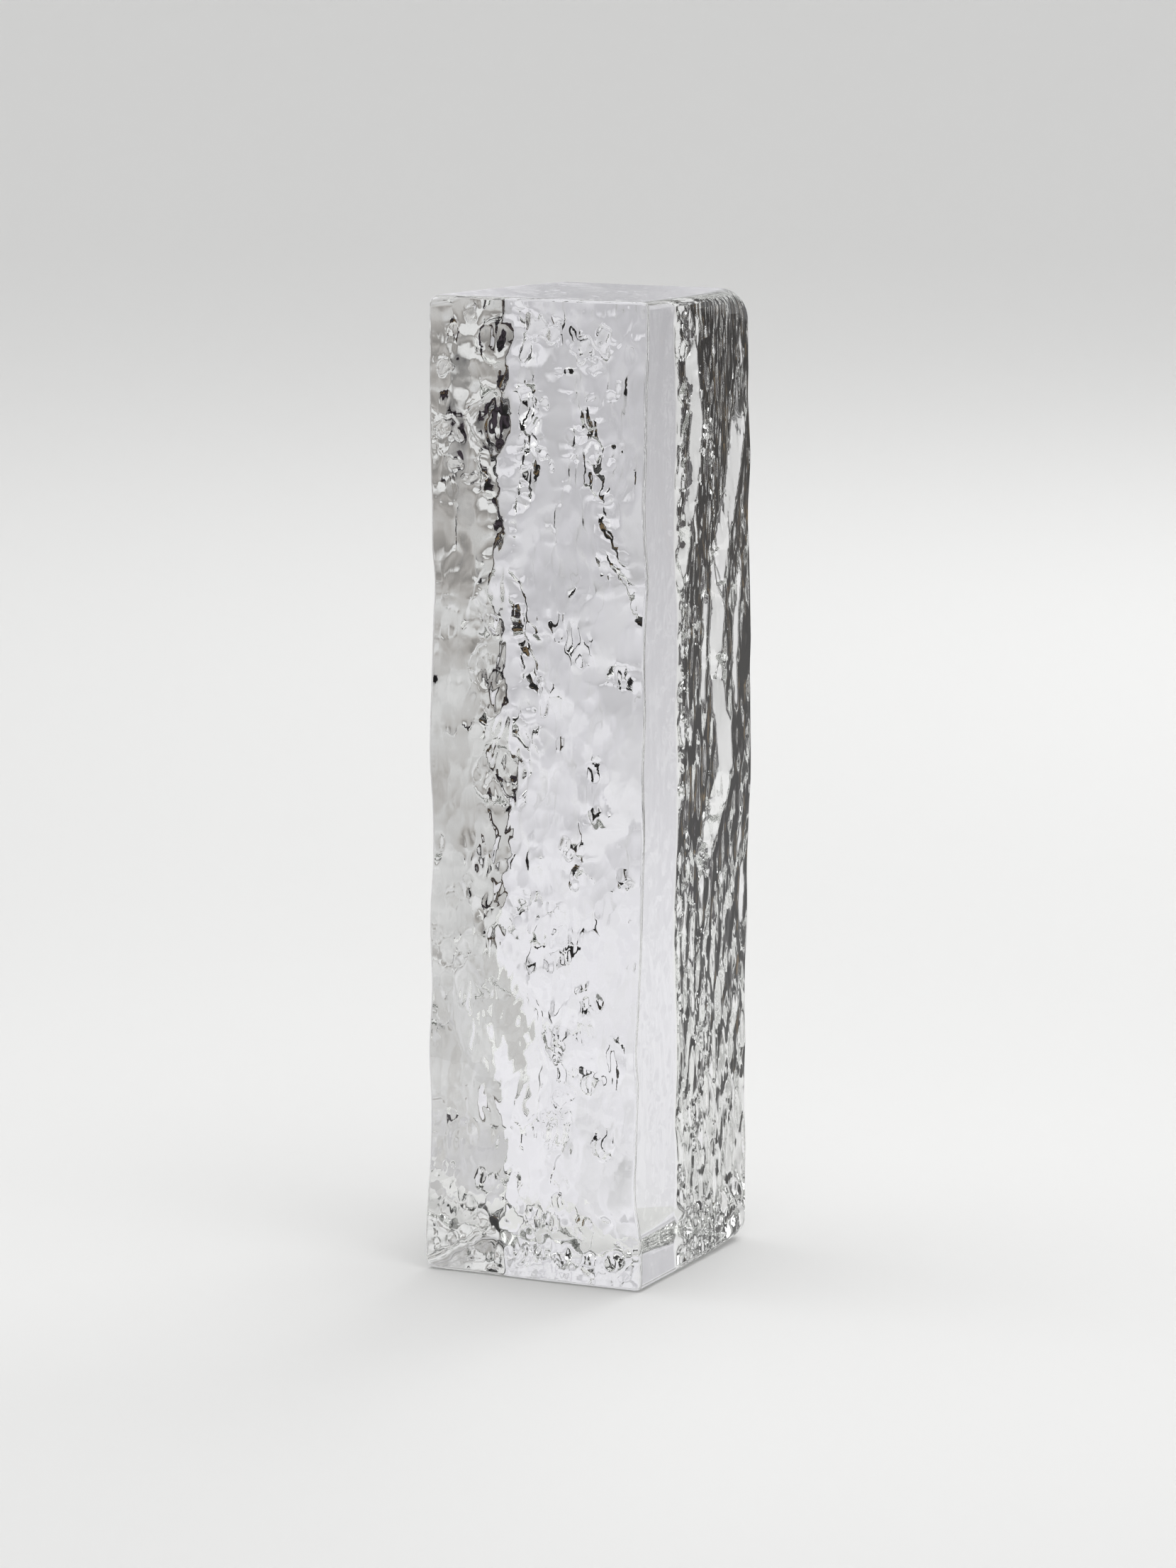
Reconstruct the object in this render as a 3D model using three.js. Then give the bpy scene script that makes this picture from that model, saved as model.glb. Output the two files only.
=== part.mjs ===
// A solid cast-glass block: one tall square bar of clear glass.
// Two opposite faces (front, -Y, and back, +Y) carry the mould's rough relief.
// The other four faces (left and right sides, top and base) are plane.
//
// Millimetres, +Z up. The origin is the middle of the base, on the floor.
// X runs between the two smooth sides, Y between the two rough faces.

import * as THREE from "three";
import { mergeVertices } from "three/addons/utils/BufferGeometryUtils.js";

const WIDTH = 60; // X, between the smooth sides
const DEPTH = 63; // Y, between the mean planes of the rough faces
const HEIGHT = 250; // Z

// Fillet round each rough face, where it turns into its four plane neighbours.
const FRONT_EDGE_R = 0.8;
const BACK_EDGE_R = 1.6;

// The four edges that run front to back are crisp at the front, and melted
// round at the back, where the glass did not fill the mould's corners.
// Radii at the front face and at the back face, by corner.
const CORNER_R = {
  topLeft: [2.6, 7],
  topRight: [1.6, 8],
  baseLeft: [2.8, 5],
  baseRight: [1.8, 5],
};
const CORNER_GROWTH = 4; // the radius grows with this power of the way back

// How far each rough face stands out from its mean plane along its upright
// edges: [height, millimetres out]. Between the two edges it is blended.
const FRONT_LEFT_EDGE = [
  [0, 3.0],
  [6, 3.3],
  [15, 2.6],
  [30, 0.7],
  [42, 0.3],
  [57, 1.4],
  [72, 0.1],
  [93, 0.7],
  [105, -0.7],
  [119, -0.7],
  [133, 0.9],
  [150, 0.1],
  [168, -1.1],
  [178, -1.9],
  [186, -0.7],
  [197, -0.6],
  [210, 0.3],
  [230, 0.6],
  [250, 0.5],
];
const FRONT_RIGHT_EDGE = [
  [0, -1.4],
  [12, -1.0],
  [17, 0.2],
  [23, 2.2],
  [28, 2.7],
  [36, 2.2],
  [44, 1.9],
  [55, 1.4],
  [62, 2.5],
  [70, 1.7],
  [79, 0.8],
  [89, -0.1],
  [107, -0.9],
  [118, -1.5],
  [133, -0.6],
  [146, -1.5],
  [165, -1.0],
  [173, -1.7],
  [181, -2.7],
  [190, -1.3],
  [197, -0.6],
  [212, -1.2],
  [228, -1.5],
  [239, -2.2],
  [250, -2.1],
];
const BACK_RIGHT_EDGE = [
  [0, -0.8],
  [12, 0.3],
  [24, 0.2],
  [43, -0.9],
  [52, -0.5],
  [67, -1.2],
  [80, -0.6],
  [92, 0],
  [98, -0.4],
  [112, 0.5],
  [127, 1.3],
  [140, 0.8],
  [151, 0.4],
  [158, 0.7],
  [170, 0.1],
  [181, -0.6],
  [193, -1.6],
  [207, -0.7],
  [216, -1.7],
  [222, -2.5],
  [231, -2.1],
  [240, -2.6],
  [250, -2.8],
];
const BACK_LEFT_EDGE = [
  [0, 0.4],
  [14, 1.2],
  [31, 0.1],
  [49, 0.9],
  [66, -0.4],
  [83, -0.9],
  [101, 0.3],
  [120, 0.8],
  [137, -0.2],
  [156, 0.6],
  [175, -0.8],
  [194, -1.1],
  [213, -0.4],
  [232, -1.3],
  [250, -1.5],
];

// The slow swell of each rough face between its edges: [depth, waves across
// the width, waves up the height, phase]. The folds run mostly up the block.
const FRONT_SWELL = [
  [0.34, 0.55, 1.6, 0.6],
  [0.3, 1.15, 2.7, 2.1],
  [0.26, -0.8, 3.9, 4.0],
  [0.2, 1.7, 5.3, 1.2],
  [0.14, -1.9, 7.1, 5.1],
];
const BACK_SWELL = [
  [0.34, 0.6, 1.3, 3.4],
  [0.3, -1.2, 2.9, 0.9],
  [0.26, 0.9, 4.3, 5.6],
  [0.2, -1.8, 5.9, 2.6],
  [0.14, 2.1, 7.7, 0.3],
];

// Grid: lines across a fillet, across a corner's rounding, and even spans.
const FILLET_STEPS = 3;
const CORNER_STEPS = 3;
const SPANS_X = 8;
const SPANS_Z = 34;
const RINGS_Y = [0, 0.45, 0.7, 0.86, 0.95, 1]; // rings from front to back
const FRONT_CORNER_ZONE = 4; // the corner lines end this far in from the outline
const BACK_CORNER_ZONE = 9;

const TAU = 2 * Math.PI;

// Grid lines from 0 to length: closely spaced across the fillet, so that each
// turns the same angle, wider across the corner zone, and even between.
function lines(length, radius, zone, spans) {
  const out = [];
  for (let k = 0; k < FILLET_STEPS; k++)
    out.push(radius * (1 - Math.cos((k / FILLET_STEPS) * (Math.PI / 2))));
  for (let k = 0; k < CORNER_STEPS; k++)
    out.push(radius + ((zone - radius) * k) / CORNER_STEPS);
  const inner = out.length;
  for (let k = 0; k <= spans; k++)
    out.push(zone + ((length - 2 * zone) * k) / spans);
  for (let k = inner - 1; k >= 0; k--) out.push(length - out[k]);
  return out;
}

// The corner radius at a way back from 0 (front) to 1, for a point's quarter.
function cornerRadius(x, z, back) {
  const [front, rear] =
    CORNER_R[(z > 0 ? "top" : "base") + (x > 0 ? "Right" : "Left")];
  return front + (rear - front) * back ** CORNER_GROWTH;
}

// A section's outline is a rectangle with rounded corners. This moves a point
// of the square-cornered grid to its place inside that outline, and gives its
// distance in from the outline.
function inOutline(x, z, cornerR) {
  const halfX = WIDTH / 2;
  const halfZ = HEIGHT / 2;
  const over = new THREE.Vector2(
    Math.abs(x) - (halfX - cornerR),
    Math.abs(z) - (halfZ - cornerR),
  );
  if (over.x > 0 && over.y > 0) {
    const most = Math.max(over.x, over.y);
    over.multiplyScalar(most / over.length());
    return {
      point: new THREE.Vector2(
        Math.sign(x) * (halfX - cornerR + over.x),
        Math.sign(z) * (halfZ - cornerR + over.y),
      ),
      inset: cornerR - most,
    };
  }
  return {
    point: new THREE.Vector2(x, z),
    inset: Math.min(halfX - Math.abs(x), halfZ - Math.abs(z)),
  };
}

// A smooth curve through an edge's [height, out] points.
function edgeCurve(points) {
  const curve = new THREE.CubicInterpolant(
    points.map(([height]) => height),
    points.map(([, out]) => out),
    1,
  );
  return (height) => curve.evaluate(height)[0];
}

// How far a rough face stands out from its mean plane.
function roughFace(leftEdge, rightEdge, swell) {
  const left = edgeCurve(leftEdge);
  const right = edgeCurve(rightEdge);
  return (x, z) => {
    const across = x / WIDTH + 0.5;
    const height = z + HEIGHT / 2;
    const middle = Math.sin(Math.PI * across);
    const waves = swell.reduce(
      (sum, [depth, nx, nz, phase]) =>
        sum + depth * Math.cos(TAU * (nx * across + (nz * height) / HEIGHT) + phase),
      0,
    );
    return (
      left(height) * (1 - across) + right(height) * across + middle * waves
    );
  };
}

// How far the face has turned away at a distance in from its outline.
function filletDrop(inset, radius) {
  if (inset >= radius) return 0;
  return radius - Math.sqrt(Math.max(radius ** 2 - (radius - inset) ** 2, 0));
}

function glassBlock() {
  const grid = {
    front: [
      lines(WIDTH, FRONT_EDGE_R, FRONT_CORNER_ZONE, SPANS_X),
      lines(HEIGHT, FRONT_EDGE_R, FRONT_CORNER_ZONE, SPANS_Z),
    ],
    back: [
      lines(WIDTH, BACK_EDGE_R, BACK_CORNER_ZONE, SPANS_X),
      lines(HEIGHT, BACK_EDGE_R, BACK_CORNER_ZONE, SPANS_Z),
    ],
  };
  const nx = grid.front[0].length - 1;
  const ny = RINGS_Y.length - 1;
  const nz = grid.front[1].length - 1;
  const frontOut = roughFace(FRONT_LEFT_EDGE, FRONT_RIGHT_EDGE, FRONT_SWELL);
  const backOut = roughFace(BACK_LEFT_EDGE, BACK_RIGHT_EDGE, BACK_SWELL);

  // The box gives the topology: two gridded faces joined by rings of flats.
  const box = new THREE.BoxGeometry(WIDTH, DEPTH, HEIGHT, nx, ny, nz);
  box.deleteAttribute("normal");
  box.deleteAttribute("uv");
  const geometry = mergeVertices(box, 1e-4);
  const position = geometry.getAttribute("position");

  for (let i = 0; i < position.count; i++) {
    const column = Math.round((position.getX(i) / WIDTH + 0.5) * nx);
    const ring = Math.round((position.getY(i) / DEPTH + 0.5) * ny);
    const row = Math.round((position.getZ(i) / HEIGHT + 0.5) * nz);
    const back = RINGS_Y[ring];
    const gx =
      THREE.MathUtils.lerp(grid.front[0][column], grid.back[0][column], back) -
      WIDTH / 2;
    const gz =
      THREE.MathUtils.lerp(grid.front[1][row], grid.back[1][row], back) -
      HEIGHT / 2;
    const { point, inset } = inOutline(gx, gz, cornerRadius(gx, gz, back));
    const yFront =
      -DEPTH / 2 -
      frontOut(point.x, point.y) +
      filletDrop(inset, FRONT_EDGE_R);
    const yBack =
      DEPTH / 2 + backOut(point.x, point.y) - filletDrop(inset, BACK_EDGE_R);
    const y = THREE.MathUtils.lerp(yFront, yBack, back);
    position.setXYZ(i, point.x, y, point.y + HEIGHT / 2);
  }
  geometry.computeBoundingBox();
  const { min, max } = geometry.boundingBox;
  geometry.translate(0, -(min.y + max.y) / 2, 0);
  geometry.computeVertexNormals();
  return geometry;
}

const clearGlass = new THREE.MeshStandardMaterial({
  name: "clear_glass",
  color: 0xe9efec,
  roughness: 0.03,
  metalness: 0,
  transparent: true,
  opacity: 0.35,
});

const block = new THREE.Mesh(glassBlock(), clearGlass);
block.name = "glass_block";

const part = new THREE.Group();
part.name = "cast_glass_block";
part.add(block);

export default part;
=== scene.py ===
import math

import bpy
import numpy as np
from mathutils import Matrix, Vector


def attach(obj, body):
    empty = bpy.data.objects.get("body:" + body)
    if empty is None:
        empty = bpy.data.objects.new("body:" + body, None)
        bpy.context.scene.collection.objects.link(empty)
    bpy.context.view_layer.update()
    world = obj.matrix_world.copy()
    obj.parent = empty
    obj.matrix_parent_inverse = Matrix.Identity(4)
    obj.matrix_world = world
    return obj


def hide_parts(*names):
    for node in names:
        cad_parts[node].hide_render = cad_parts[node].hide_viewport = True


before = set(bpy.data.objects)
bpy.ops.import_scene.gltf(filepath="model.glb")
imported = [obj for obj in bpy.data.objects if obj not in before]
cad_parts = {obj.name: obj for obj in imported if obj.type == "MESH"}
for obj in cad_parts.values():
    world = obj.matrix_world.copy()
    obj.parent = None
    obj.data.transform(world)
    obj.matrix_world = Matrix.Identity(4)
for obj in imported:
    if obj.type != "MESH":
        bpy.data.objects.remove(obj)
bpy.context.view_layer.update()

# --------------------------------------------------------------------------
# Sizes, in millimetres. The block stands on the middle of its base.
# --------------------------------------------------------------------------
WIDTH, DEPTH, HEIGHT = 60.0, 63.0, 250.0
Y_SHIFT = 0.9747  # the mean section's middle, in the frame
FRONT_EDGE_R, BACK_EDGE_R = 0.8, 0.9
CORNER_R = {
    (-1, 1): (2.6, 7.0),
    (1, 1): (1.6, 8.0),
    (-1, -1): (2.8, 5.0),
    (1, -1): (1.8, 5.0),
}
CORNER_GROWTH = 4
TAU = 2 * math.pi

FRONT_LEFT_EDGE = [
    (0, 3.0), (6, 3.3), (15, 2.6), (30, 0.7), (42, 0.3), (57, 1.4), (72, 0.1),
    (93, 0.7), (105, -0.7), (119, -0.7), (133, 0.9), (150, 0.1), (168, -1.1),
    (178, -1.9), (186, -0.7), (197, -0.6), (210, 0.3), (230, 0.6), (250, 0.5),
]
FRONT_RIGHT_EDGE = [
    (0, -1.4), (12, -1.0), (17, 0.2), (23, 2.2), (28, 2.7), (36, 2.2), (44, 1.9),
    (55, 1.4), (62, 2.5), (70, 1.7), (79, 0.8), (89, -0.1), (107, -0.9),
    (118, -1.5), (133, -0.6), (146, -1.5), (165, -1.0), (173, -1.7), (181, -2.7),
    (190, -1.3), (197, -0.6), (212, -1.2), (228, -1.5), (239, -2.2), (250, -2.1),
]
BACK_RIGHT_EDGE = [
    (0, -0.8), (12, 0.3), (24, 0.2), (43, -0.9), (52, -0.5), (67, -1.2), (80, -0.6),
    (92, 0), (98, -0.4), (112, 0.5), (127, 1.3), (140, 0.8), (151, 0.4), (158, 0.7),
    (170, 0.1), (181, -0.6), (193, -1.6), (207, -0.7), (216, -1.7), (222, -2.5),
    (231, -2.1), (240, -2.6), (250, -2.8),
]
BACK_LEFT_EDGE = [
    (0, 0.4), (14, 1.2), (31, 0.1), (49, 0.9), (66, -0.4), (83, -0.9), (101, 0.3),
    (120, 0.8), (137, -0.2), (156, 0.6), (175, -0.8), (194, -1.1), (213, -0.4),
    (232, -1.3), (250, -1.5),
]
FRONT_SWELL = [
    (0.34, 0.55, 1.6, 0.6), (0.3, 1.15, 2.7, 2.1), (0.26, -0.8, 3.9, 4.0),
    (0.2, 1.7, 5.3, 1.2), (0.14, -1.9, 7.1, 5.1),
]
BACK_SWELL = [
    (0.34, 0.6, 1.3, 3.4), (0.3, -1.2, 2.9, 0.9), (0.26, 0.9, 4.3, 5.6),
    (0.2, -1.8, 5.9, 2.6), (0.14, 2.1, 7.7, 0.3),
]


# --------------------------------------------------------------------------
# Height fields. x and z are arrays in millimetres, x from -30 to 30 and z
# from 0 to 250. The result is how far the face stands out.
# --------------------------------------------------------------------------
def edge_curve(points, z):
    """A smooth curve through the points (Catmull-Rom)."""
    p = np.array(points, float)
    t, v = p[:, 0], p[:, 1]
    slope = np.gradient(v, t)
    i = np.clip(np.searchsorted(t, z) - 1, 0, len(t) - 2)
    h = t[i + 1] - t[i]
    s = np.clip((z - t[i]) / h, 0, 1)
    return (
        (2 * s**3 - 3 * s**2 + 1) * v[i]
        + (s**3 - 2 * s**2 + s) * h * slope[i]
        + (-2 * s**3 + 3 * s**2) * v[i + 1]
        + (s**3 - s**2) * h * slope[i + 1]
    )


def slow(points, z):
    """The same edge curve without its short waves."""
    near = np.arange(-30.0, 30.1, 4.0)
    weight = np.exp(-0.5 * (near / 14.0) ** 2)
    return sum(w * edge_curve(points, np.clip(z + d, 0, HEIGHT)) for d, w in zip(near, weight)) / weight.sum()


def broad(left, right, swell, x, z):
    """The face's slow swell. An edge's short waves die out inwards."""
    across = x / WIDTH + 0.5
    waves = sum(
        d * np.cos(TAU * (nx * across + nz * z / HEIGHT) + ph)
        for d, nx, nz, ph in swell
    )
    height = np.arange(-10.0, HEIGHT + 10.1, 0.5)
    out = 0.5 * np.sin(np.pi * across) * waves
    for points, inward in ((left, across), (right, 1 - across)):
        whole, calm = edge_curve(points, np.clip(height, 0, HEIGHT)), slow(points, np.clip(height, 0, HEIGHT))
        out += np.interp(z, height, calm) * (1 - inward)
        out += np.interp(z, height, whole - calm) * np.exp(-((inward * WIDTH / 9.0) ** 2))
    return out


# --------------------------------------------------------------------------
# The relief in the mould's faces, as height fields on one square grid.
# --------------------------------------------------------------------------
STEP, MARGIN = 0.25, 4.0
GX = np.arange(-WIDTH / 2 - MARGIN, WIDTH / 2 + MARGIN + STEP / 2, STEP)
GZ = np.arange(-MARGIN, HEIGHT + MARGIN + STEP / 2, STEP)
X, Z = np.meshgrid(GX, GZ, indexing="ij")


def smoothstep(a, b, v):
    t = np.clip((v - a) / (b - a), 0, 1)
    return t * t * (3 - 2 * t)


def spectrum(shape, step):
    return np.fft.fftfreq(shape[0], step)[:, None], np.fft.rfftfreq(shape[1], step)[None, :]


def blur(field, sigma, step=STEP):
    fx, fz = spectrum(field.shape, step)
    keep = np.exp(-2 * (np.pi * sigma) ** 2 * (fx**2 + fz**2))
    return np.fft.irfft2(np.fft.rfft2(field) * keep, field.shape)


def rough(seed, size_x, size_z, slope):
    """Random bumps about size_x by size_z mm, with this rms slope across."""
    rng = np.random.default_rng(seed)
    fx, fz = spectrum(X.shape, STEP)
    f2 = (fx * size_x) ** 2 + (fz * size_z) ** 2
    white = np.fft.rfft2(rng.standard_normal(X.shape))
    field = np.fft.irfft2(white * f2 * np.exp(-f2 * 4.0), X.shape)
    return field * slope / np.gradient(field, STEP, axis=0).std()


def creases(seed, size_x, size_z, slope):
    """Rounded pads that meet in creases, with this rms slope across."""
    field = rough(seed, size_x, size_z, 1.0)
    field = np.sqrt(field**2 + (0.06 * field.std()) ** 2)
    return field * slope / np.gradient(field, STEP, axis=0).std()


def facets(seed, size_x, size_z, rising, falling, share):
    """Slopes across in patches: steeply rising ones over a share of the face,
    and gently falling ones between them."""
    field = rough(seed, size_x, size_z, 1.0)
    level = np.quantile(field, 1 - np.asarray(share))
    return falling + (rising - falling) * smoothstep(-0.12, 0.12, (field - level) / field.std())


def from_slope(slope, calm_z, longest):
    """The relief whose slope across comes nearest to this one, with little
    slope up and down and no waves much longer than a number of mm."""
    fx, fz = spectrum(X.shape, STEP)
    kx, kz = TAU * fx, TAU * fz
    return np.fft.irfft2(
        -1j * kx * np.fft.rfft2(slope) / (kx**2 + calm_z * kz**2 + (TAU / longest) ** 2), X.shape
    )


def sample(field, x, z, step=STEP):
    """The field between its grid's points (bicubic)."""
    u, w = (x - GX[0]) / step, (z - GZ[0]) / step
    i = np.clip(np.floor(u).astype(int), 1, field.shape[0] - 3)
    j = np.clip(np.floor(w).astype(int), 1, field.shape[1] - 3)
    a, b = u - i, w - j

    def cubic(p0, p1, p2, p3, t):
        return p1 + 0.5 * t * (
            p2 - p0 + t * (2 * p0 - 5 * p1 + 4 * p2 - p3 + t * (3 * (p1 - p2) + p3 - p0))
        )

    return cubic(
        *(cubic(*(field[i + k, j + m] for m in (-1, 0, 1, 2)), b) for k in (-1, 0, 1, 2)), a
    )


def smooth(points, closed, steps=4):
    """Points along a smooth curve through the given ones."""
    p = np.array(points, float)
    n = len(p)
    out = []
    for k in range(n if closed else n - 1):
        if closed:
            a, b, c, d = (p[(k + m) % n] for m in (-1, 0, 1, 2))
        else:
            a, b, c, d = p[max(k - 1, 0)], p[k], p[k + 1], p[min(k + 2, n - 1)]
        t = (np.arange(steps) / steps)[:, None]
        out.append(
            b + 0.5 * t * (c - a + t * (2 * a - 5 * b + 4 * c - d + t * (3 * (b - c) + d - a)))
        )
    if not closed:
        out.append(p[-1:])
    return np.concatenate(out)


def rim_fade(inset, least):
    """Fine relief dies down towards the rim of a rough face."""
    return least + (1 - least) * smoothstep(0.0, 2.5, inset)


def to_path(points, closed, reach, step=STEP, steps=4):
    """A window of the grid, with each point's distance to the curve, its place
    along it from 0 to 1, how upright the curve is there, and whether the point
    is inside it."""
    p = smooth(points, closed, steps)
    nx, nz = (len(GX) - 1) * STEP / step + 1, (len(GZ) - 1) * STEP / step + 1
    i0 = max(int((p[:, 0].min() - reach - GX[0]) / step), 0)
    i1 = min(int((p[:, 0].max() + reach - GX[0]) / step) + 2, int(nx))
    j0 = max(int((p[:, 1].min() - reach - GZ[0]) / step), 0)
    j1 = min(int((p[:, 1].max() + reach - GZ[0]) / step) + 2, int(nz))
    x, z = np.meshgrid(GX[0] + np.arange(i0, i1) * step, GZ[0] + np.arange(j0, j1) * step, indexing="ij")
    best = np.full(x.shape, 1e9)
    along, upright = np.zeros(x.shape), np.zeros(x.shape)
    inside = np.zeros(x.shape, bool)
    q = np.roll(p, -1, 0) if closed else p[1:]
    p0 = p if closed else p[:-1]
    total = np.hypot(*(q - p0).T).sum()
    run = 0.0
    for (ax, az), (bx, bz) in zip(p0, q):
        dx, dz = bx - ax, bz - az
        length = math.hypot(dx, dz)
        if length < 1e-9:
            continue
        t = np.clip(((x - ax) * dx + (z - az) * dz) / length**2, 0, 1)
        d = np.hypot(x - ax - t * dx, z - az - t * dz)
        near = d < best
        best = np.where(near, d, best)
        along = np.where(near, (run + t * length) / total, along)
        upright = np.where(near, (dz / length) ** 2, upright)
        run += length
        if closed:
            inside ^= ((az > z) != (bz > z)) & (x < dx * (z - az) / (dz + 1e-12) + ax)
    return (slice(i0, i1), slice(j0, j1)), best, along, upright, inside


# The line on the front face that parts the two views through the block: to its
# right one sees out of the back face, to its left the left side's mirror image
# of it. The front face's slope across bends that line. (x, z) from the top.
DIVIDER = [
    (-7.9, 248.5), (-8.3, 245.5), (-7.7, 243.8), (-6.9, 242.4), (-6.9, 240),
    (-7.9, 238.2), (-9.1, 237.1), (-9.1, 235.5), (-8.7, 233.6), (-8.9, 230.6),
    (-8.9, 227.9), (-8.4, 225.3), (-7.8, 222.7), (-7.8, 220), (-8.4, 217.7),
    (-9.4, 215), (-10.4, 212.5), (-11, 213.7), (-11.6, 215.9), (-11.6, 218.1),
    (-11, 220.6), (-10.6, 222.7), (-11.4, 224.3), (-12.7, 223.9), (-13.5, 221.9),
    (-15.1, 220), (-16.3, 218.4), (-15.7, 216.1), (-14.5, 213.5), (-13.6, 210.7),
    (-12.4, 208.3), (-11.4, 205.3), (-10.8, 201.8), (-10.2, 198.3), (-9.6, 194.2),
    (-9.2, 190.7), (-8.8, 187.8), (-10, 187), (-11.6, 186.8), (-13, 186.2),
    (-13.2, 184.2), (-13, 182), (-14, 180.2), (-14.6, 177.8), (-14.2, 175.2),
    (-13, 173.4), (-13, 171.3), (-11.8, 169.9), (-11, 167.3), (-11, 165),
    (-12.2, 163.4), (-12, 160.9), (-11.2, 158.3), (-10.6, 155.6), (-10, 153.7),
    (-11.2, 152.5), (-12.4, 151.9), (-12.6, 150.1), (-11.8, 148), (-10.8, 145.9),
    (-11.4, 143.7), (-11.2, 141.2), (-11.6, 138.8), (-12.6, 136), (-13.6, 133),
    (-13, 130.9), (-12, 131.3), (-11, 133.6), (-10.4, 135.8), (-9.4, 137),
    (-7.7, 136.9), (-5.7, 136), (-4.3, 134.5), (-3.5, 132.4), (-4.3, 130.5),
    (-5.7, 129.5), (-6.1, 127.8), (-5.9, 125.7), (-7.3, 122.6), (-8.7, 119.6),
    (-7.7, 117.5), (-6.5, 115.3), (-6.9, 112.5), (-8.1, 110.4), (-9.5, 109.4),
    (-9.7, 107.2), (-9.9, 104.6), (-11, 102.7), (-11.2, 101.2), (-9.9, 100),
    (-9.5, 97.7), (-9.5, 94), (-10.5, 91.6), (-11.6, 90.9), (-12.4, 89.7),
    (-12.6, 87.3), (-12.4, 84.2), (-11.3, 81.9), (-9.7, 80.6), (-8.5, 78.7),
    (-7.1, 76.7), (-5.4, 75.7), (-4.6, 73.4), (-3.2, 71.2), (-1.8, 69.5), (-0.9, 67.4),
    (-0.5, 64.7), (-1.5, 62.5), (-1.9, 59.9), (-0.9, 57.8), (0.7, 56.5), (0.7, 53.7),
    (0.1, 50), (-0.5, 46.2), (-1.3, 44.1), (-2.1, 46.1), (-2.5, 49.2), (-3.4, 52.8),
    (-4.4, 56.9), (-5.6, 60.4), (-7.2, 62.9), (-8.9, 64), (-10.3, 65.7), (-11.5, 67.4),
    (-13, 69.5), (-14.2, 70.8), (-15, 69.6), (-14.2, 67.7), (-13, 65.6), (-11.9, 63.5),
    (-11.5, 60.7), (-11.1, 57.5), (-10.1, 54.4), (-9.1, 51.4), (-8.7, 47.2),
    (-8.7, 42.6), (-8.4, 37), (-8.2, 31.5), (-8.2, 26.8), (-8.6, 23), (-9.9, 20.5),
    (-11.1, 18.8), (-11.1, 15.8), (-10.3, 13.1), (-9.2, 10.8), (-9.2, 6.2),
    (-9.2, -0.4),
]

# Islands left of it that look straight out too.
CLEARINGS = [
    [
        (-11.7, 243.5), (-12.9, 242), (-13.9, 240.2), (-14.3, 238.1), (-13.9, 236),
        (-12.9, 235.3), (-11.7, 236.8), (-11.1, 239.3), (-11.1, 241.7),
    ],
    [
        (-10.4, 116.6), (-9.5, 115.2), (-10.1, 112.2), (-11.6, 109.4), (-13.2, 106.7),
        (-15, 104.7), (-16.3, 105.9), (-15, 108.9), (-13.2, 111.8), (-11.8, 114.6),
    ],
    [
        (-19.3, 77.5), (-18.1, 75.9), (-17.5, 73.1), (-16.9, 70.2), (-16.5, 67.3),
        (-15.8, 64.7), (-15.8, 62.1), (-16.7, 59.7), (-17.7, 61.6), (-18.3, 64.7),
        (-18.7, 68.3), (-19.1, 72), (-19.5, 74.7),
    ],
    [
        (-15, 49.3), (-14.2, 50.1), (-13.6, 47.6), (-13.6, 43.3), (-14.2, 41.6),
        (-15.2, 43.7), (-15.2, 46.5),
    ],
    [
        (-15, 130), (-14.2, 129.3), (-13.8, 128.3), (-14.2, 127.2), (-15, 127.5),
        (-15.4, 128.7),
    ],
    [
        (-15.2, 158.4), (-14.4, 157.5), (-13.8, 155.4), (-13.2, 153.7), (-13.8, 153.3),
        (-14.8, 154.6), (-15.5, 156.4),
    ],
]

DIVIDER_X = -10.4  # where the line would run if the front were flat
REACH = 27.0  # mm that the view moves on the back face per unit of slope


def divider_relief(other):
    step = 0.5
    nx, nz = int(round((GX[-1] - GX[0]) / step)) + 1, int(round((GZ[-1] - GZ[0]) / step)) + 1
    x = GX[0] + step * np.arange(nx)[:, None] + np.zeros((1, nz))
    line = [(-7.9, 262)] + DIVIDER + [(-9.2, -12), (45, -12), (45, 262)]
    want = np.full((nx, nz), 9.0)
    window, distance, _, _, _ = to_path(DIVIDER, False, 9.0, step, 3)
    want[window] = np.minimum(distance, 9.0)
    window, _, _, _, inside = to_path(line, True, 20.0, step, 1)
    side = np.zeros((nx, nz), bool)
    side[window] = inside
    want = np.where(side, want, -want)
    for island in CLEARINGS:
        window, distance, _, _, inside = to_path(island, True, 4.0, step, 2)
        want[window] = np.maximum(want[window], np.where(inside, distance, -distance))
    flat = x - DIVIDER_X
    weight = np.exp(-((np.maximum(np.abs(want) - 1.2, 0) / 2.2) ** 2))
    weight = blur(np.where(want * flat < 0, 1.0, weight), 0.5, step)
    there = np.gradient(other, STEP, axis=0)[::2, ::2]
    slope = blur(weight * ((np.clip(want, -2.5, 2.5) * 0.8 - flat) / REACH - there), 0.35, step)
    fx, fz = spectrum(slope.shape, step)
    kx, kz = TAU * fx, TAU * fz
    height = np.fft.irfft2(
        -1j * kx * np.fft.rfft2(slope) / (kx**2 + DIVIDER_LAMBDA * kz**2 + 0.0015), slope.shape
    )
    return sample(height, X, Z, step)


DIVIDER_LAMBDA = 0.03

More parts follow.
